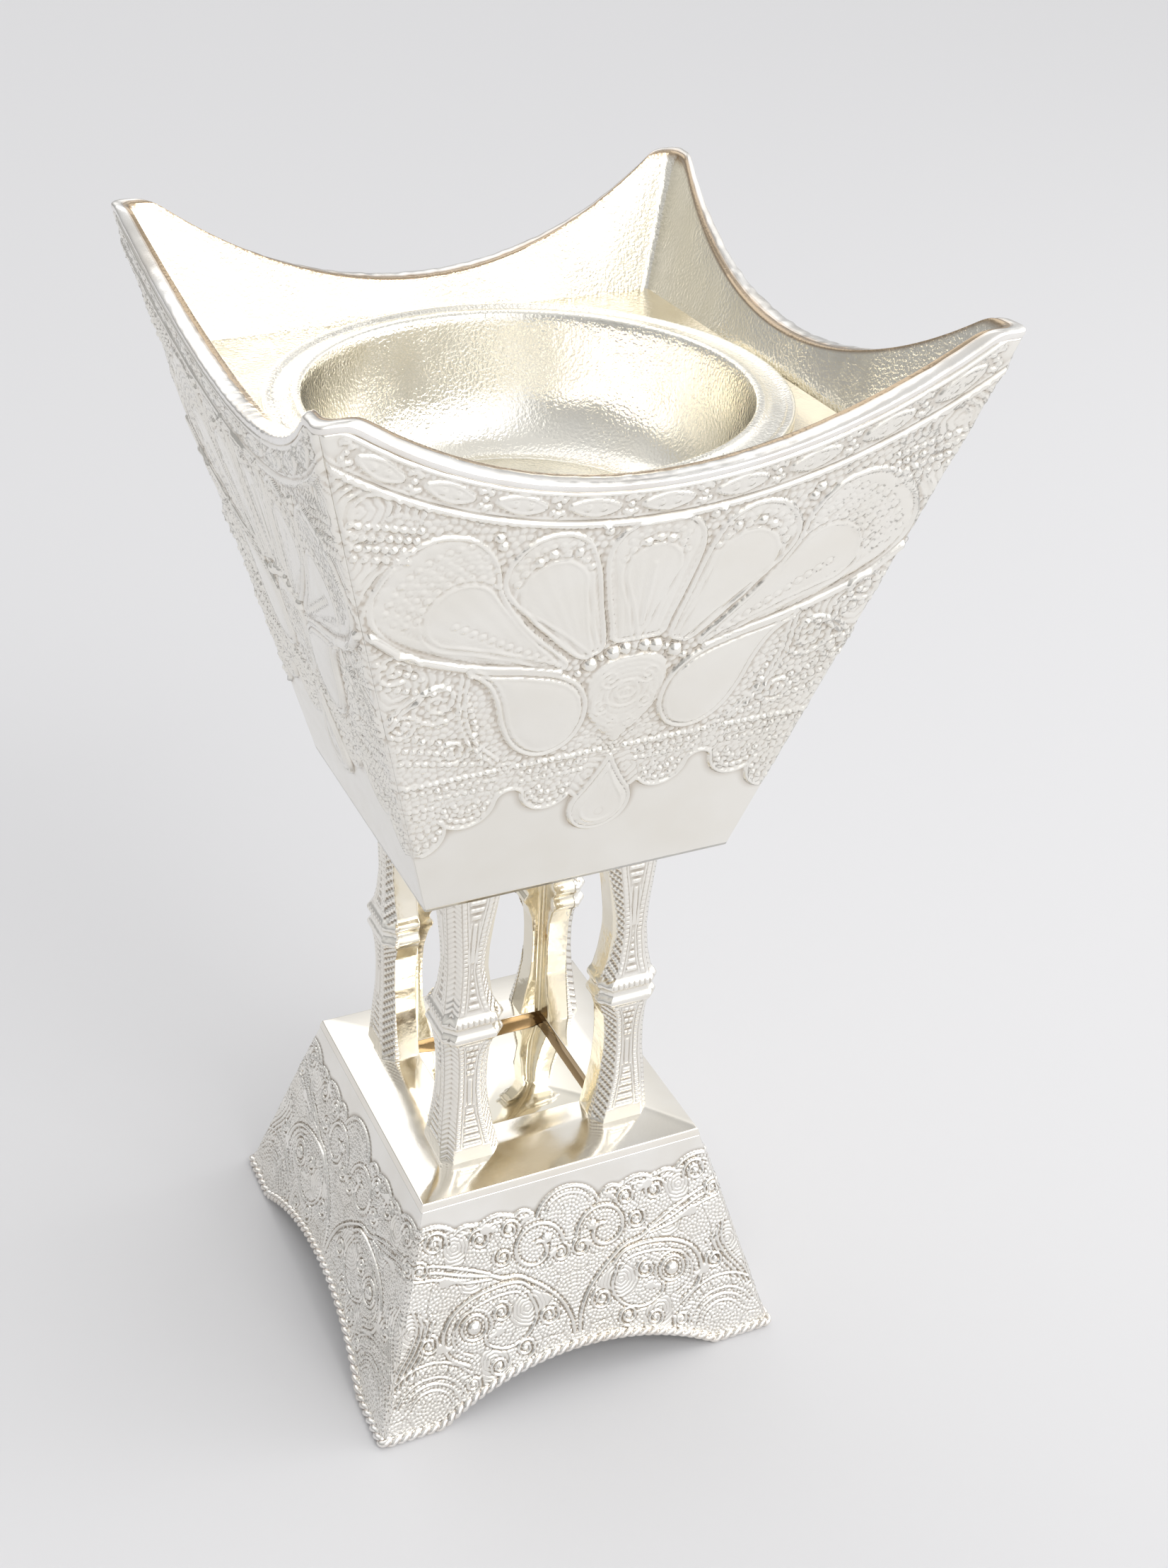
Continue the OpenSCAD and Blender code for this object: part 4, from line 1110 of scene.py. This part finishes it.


# The brown given to a material below for its hollows and marked edges is painted shade.
M = {
    "silver_embossed": metal("silver_embossed", (0.94, 0.918, 0.862), (0.905, 0.876, 0.808), 0.18, 0.06, painted_shade=0.6, shade_col=(0.48, 0.40, 0.31), grain=0.02, grain_mm=0.8, fine=0.006, fine_mm=0.15),
    "silver_base": metal("silver_base", (0.95, 0.932, 0.888), (0.88, 0.85, 0.79), 0.14, 0.05, painted_shade=0.85, shade_col=(0.30, 0.245, 0.18), grain=0.02, grain_mm=0.6, fine=0.010, fine_mm=0.14),
    "silver_hem": metal("silver_hem", (0.955, 0.94, 0.91), (0.86, 0.81, 0.74), 0.22, 0.08, painted_shade=0.85, shade_col=(0.45, 0.32, 0.20), grain=0.05, grain_mm=1.1, fine=0.008, fine_mm=0.2),
    "silver_cast": metal("silver_cast", (0.945, 0.92, 0.862), (0.90, 0.864, 0.792), 0.22, 0.07, painted_shade=0.85, shade_col=(0.34, 0.27, 0.19), grain=0.03, grain_mm=0.7, fine=0.010, fine_mm=0.16),
    "silver_rope": metal("silver_rope", (0.96, 0.945, 0.92), (0.84, 0.79, 0.72), 0.18, 0.07, painted_shade=0.85, shade_col=(0.30, 0.19, 0.12), grain=0.02, grain_mm=0.5, fine=0.006),
    "silver_satin": metal("silver_satin", (0.94, 0.905, 0.84), (0.90, 0.855, 0.77), 0.12, 0.04, painted_shade=0.95, shade_col=(0.20, 0.125, 0.05), grain=0.008, grain_mm=2.4, fine=0.003, fine_mm=0.3),
    # the plate's golden tint is a painted reflection of the gilt sheets around it
    "polished_plate": metal("polished_plate", (0.95, 0.91, 0.81), (0.92, 0.87, 0.75), 0.05, 0.02, grain=0.02, grain_mm=3.0, fine=0.0),
    "gilt_plain": metal("gilt_plain", (0.93, 0.875, 0.75), (0.88, 0.81, 0.66), 0.15, 0.06, grain=0.05, grain_mm=0.9, fine=0.004),
    "gilt_dark": metal("gilt_dark", (0.84, 0.75, 0.58), (0.74, 0.64, 0.46), 0.24, 0.08, grain=0.03, grain_mm=0.9, fine=0.004),
    "gilt_liner": metal("gilt_liner", (0.955, 0.923, 0.838), (0.935, 0.892, 0.775), 0.17, 0.05, painted_shade=0.85, shade_col=(0.42, 0.30, 0.18), grain=0.11, grain_mm=0.42, fine=0.006),
    "gilt_tray": metal("gilt_tray", (0.86, 0.79, 0.65), (0.80, 0.73, 0.58), 0.16, 0.04, grain=0.09, grain_mm=0.42, fine=0.006),
    "gilt_pan": metal("gilt_pan", (0.97, 0.943, 0.868), (0.95, 0.912, 0.812), 0.16, 0.04, grain=0.125, grain_mm=0.42, fine=0.006),
    "screw_steel": metal("screw_steel", (0.72, 0.71, 0.68), (0.62, 0.60, 0.57), 0.32, 0.08, grain=0.01, grain_mm=0.5, fine=0.004),
}


def dress(ob, mat, body="stand", replaces=None):
    ob.data.materials.clear()
    ob.data.materials.append(M[mat])
    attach(ob, body)
    if replaces:
        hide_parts(*([replaces] if isinstance(replaces, str) else replaces))
    return ob


# ------------------------------------------------------------------ build
for s, ob in build_bowl_sides().items():
    dress(ob, "silver_embossed", replaces="bowl_panel_" + s)
for s, ob in build_base_sides().items():
    dress(ob, "silver_base", replaces="base_panel_" + s)
for s, ob in build_posts().items():
    dress(ob, "silver_cast", replaces="post_" + s)
for s, ob in build_backings().items():
    dress(ob, "gilt_plain", replaces="backing_" + s)
dress(build_liner(), "gilt_liner", replaces="bowl_liner")
dress(build_hem(), "silver_hem", replaces="bowl_liner")
dress(build_tray(), "gilt_tray", replaces="tray_plate")
dress(build_pan(), "gilt_pan", body="pan", replaces="charcoal_pan")
dress(build_rope(), "silver_rope", replaces="base_rope_trim")
deck_prof = rounded([(21.5, 33.2), (21.18, 34.32), (14.4, 35.2), (10.5, 35.2), (10.5, 34.0), (11.4, 34.0), (11.4, 33.2)], [0, 0.22, 0.5, 0.18, 0, 0, 0], 4)
# the deck frame's recess walls are painted dark brown as shade
dress(square_ring("deck_frame", deck_prof, 24), "silver_satin", replaces="base_deck")
plate = rounded([(11.4, 33.2), (11.4, 34.0), (0.02, 34.0), (0.02, 33.2)], [0, 0.05, 0, 0], 2)
dress(square_ring("polished_square", plate, 12), "polished_plate", replaces="mirror_plate")
floor_prof = rounded([(20.6, 83.56), (20.6, 84.5), (0.02, 84.5), (0.02, 83.5), (20.3, 83.5)], [0, 0, 0, 0, 0.15], 3)
dress(square_ring("bowl_underside", floor_prof, 12), "gilt_dark", replaces="bowl_floor")
for n in ("lower_post_screws", "upper_post_screws"):
    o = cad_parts[n]; o.data.materials.clear(); o.data.materials.append(M["screw_steel"])
for n in ("lower_post_screws", "upper_post_screws"):
    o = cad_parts[n]
    md = o.modifiers.new("ease", "BEVEL"); md.width = 0.00012; md.segments = 2; md.limit_method = "ANGLE"; md.angle_limit = math.radians(35)

# ------------------------------------------------------------------ floor, light, camera
fm = bpy.data.materials.new("pale_floor")
nt, b = nodes_of(fm)
b.inputs["Base Color"].default_value = (0.705, 0.702, 0.714, 1)
b.inputs["Roughness"].default_value = 0.9
bpy.ops.mesh.primitive_plane_add(size=14, location=(0, 0, 0))
floor = bpy.context.object
floor.name = "floor"
floor.data.materials.append(fm)


def area(name, loc, target, size, power, color=(1, 1, 1), size_y=None):
    l = bpy.data.lights.new(name, "AREA")
    l.energy = power; l.color = color; l.size = size
    if size_y:
        l.shape = "RECTANGLE"; l.size_y = size_y
    o = bpy.data.objects.new(name, l)
    bpy.context.scene.collection.objects.link(o)
    o.location = loc
    d = Vector(target) - Vector(loc)
    o.rotation_euler = d.to_track_quat("-Z", "Y").to_euler()
    return o


area("key", (0.22, -0.62, 0.66), (0, 0, 0.09), 0.34, 1.5)
area("fill", (0.75, -0.15, 0.42), (0, 0, 0.09), 0.34, 1.0)
w = bpy.data.worlds.new("World") if not bpy.context.scene.world else bpy.context.scene.world
bpy.context.scene.world = w
w.use_nodes = True
wt = w.node_tree
for n in list(wt.nodes):
    wt.nodes.remove(n)
WN, WL = wt.nodes.new, wt.links.new
wo = WN("ShaderNodeOutputWorld"); bg = WN("ShaderNodeBackground")
tc = WN("ShaderNodeTexCoord")


def lobe(direction, lo, hi, amount):
    """A soft bright (or dim) patch of studio wall in one direction."""
    d = WN("ShaderNodeVectorMath"); d.operation = "DOT_PRODUCT"; d.inputs[1].default_value = Vector(direction).normalized()
    WL(tc.outputs["Generated"], d.inputs[0])
    m = WN("ShaderNodeMapRange"); m.interpolation_type = "SMOOTHSTEP"
    m.inputs["From Min"].default_value = lo; m.inputs["From Max"].default_value = hi; m.inputs["To Max"].default_value = amount
    WL(d.outputs["Value"], m.inputs["Value"])
    return m.outputs[0]


total = None
for args in (((0, 0, 1), -0.2, 0.7, 0.33), ((0.22, -0.95, 0.28), 0.66, 0.93, 0.62), ((1.0, -0.12, 0.2), 0.5, 0.92, 0.65), ((0.42, 0.45, 0.80), 0.955, 0.985, -0.55),
             ((0.0, 0.65, 0.78), 0.75, 0.97, 0.7), ((-0.85, -0.5, 0.15), 0.5, 0.93, -0.16), ((-0.6, 0.8, 0.05), 0.6, 0.95, -0.12), ((0.73, -0.60, 0.34), 0.95, 0.99, 0.5)):
    o_ = lobe(*args)
    if total is None:
        total = o_
    else:
        a_ = WN("ShaderNodeMath"); a_.operation = "ADD"; WL(total, a_.inputs[0]); WL(o_, a_.inputs[1]); total = a_.outputs[0]
a_ = WN("ShaderNodeMath"); a_.operation = "ADD"; a_.inputs[1].default_value = 0.42; WL(total, a_.inputs[0])
WL(a_.outputs[0], bg.inputs["Strength"])
bg.inputs["Color"].default_value = (1.0, 1.0, 1.0, 1)
WL(bg.outputs[0], wo.inputs[0])

cam = bpy.data.cameras.new("camera")
cam_o = bpy.data.objects.new("camera", cam)
bpy.context.scene.collection.objects.link(cam_o)
bpy.context.scene.camera = cam_o
F_PX, PPX, PPY = 2716.58, -186.83, 25.39
cam.sensor_width = 36; cam.sensor_fit = "AUTO"
cam.lens = F_PX / 2218 * 36
cam.shift_x = -PPX / 2218; cam.shift_y = PPY / 2218
cam.clip_start = 0.01; cam.clip_end = 20
cam.dof.use_dof = False
rv = Vector((2.11513232, -0.40498645, 0.237390283))
Rc = Matrix.Rotation(rv.length, 3, rv.normalized())
X_, Y_, Z_ = Rc[0], -Rc[1], -Rc[2]
Mw = Matrix(((X_[0], Y_[0], Z_[0], -0.0910338), (X_[1], Y_[1], Z_[1], -0.1980122), (X_[2], Y_[2], Z_[2], 0.2225947), (0, 0, 0, 1)))
cam_o.matrix_world = Mw
bpy.context.scene.view_settings.view_transform = "Standard"
bpy.context.scene.view_settings.look = "None"
bpy.context.scene.view_settings.exposure = 0.0
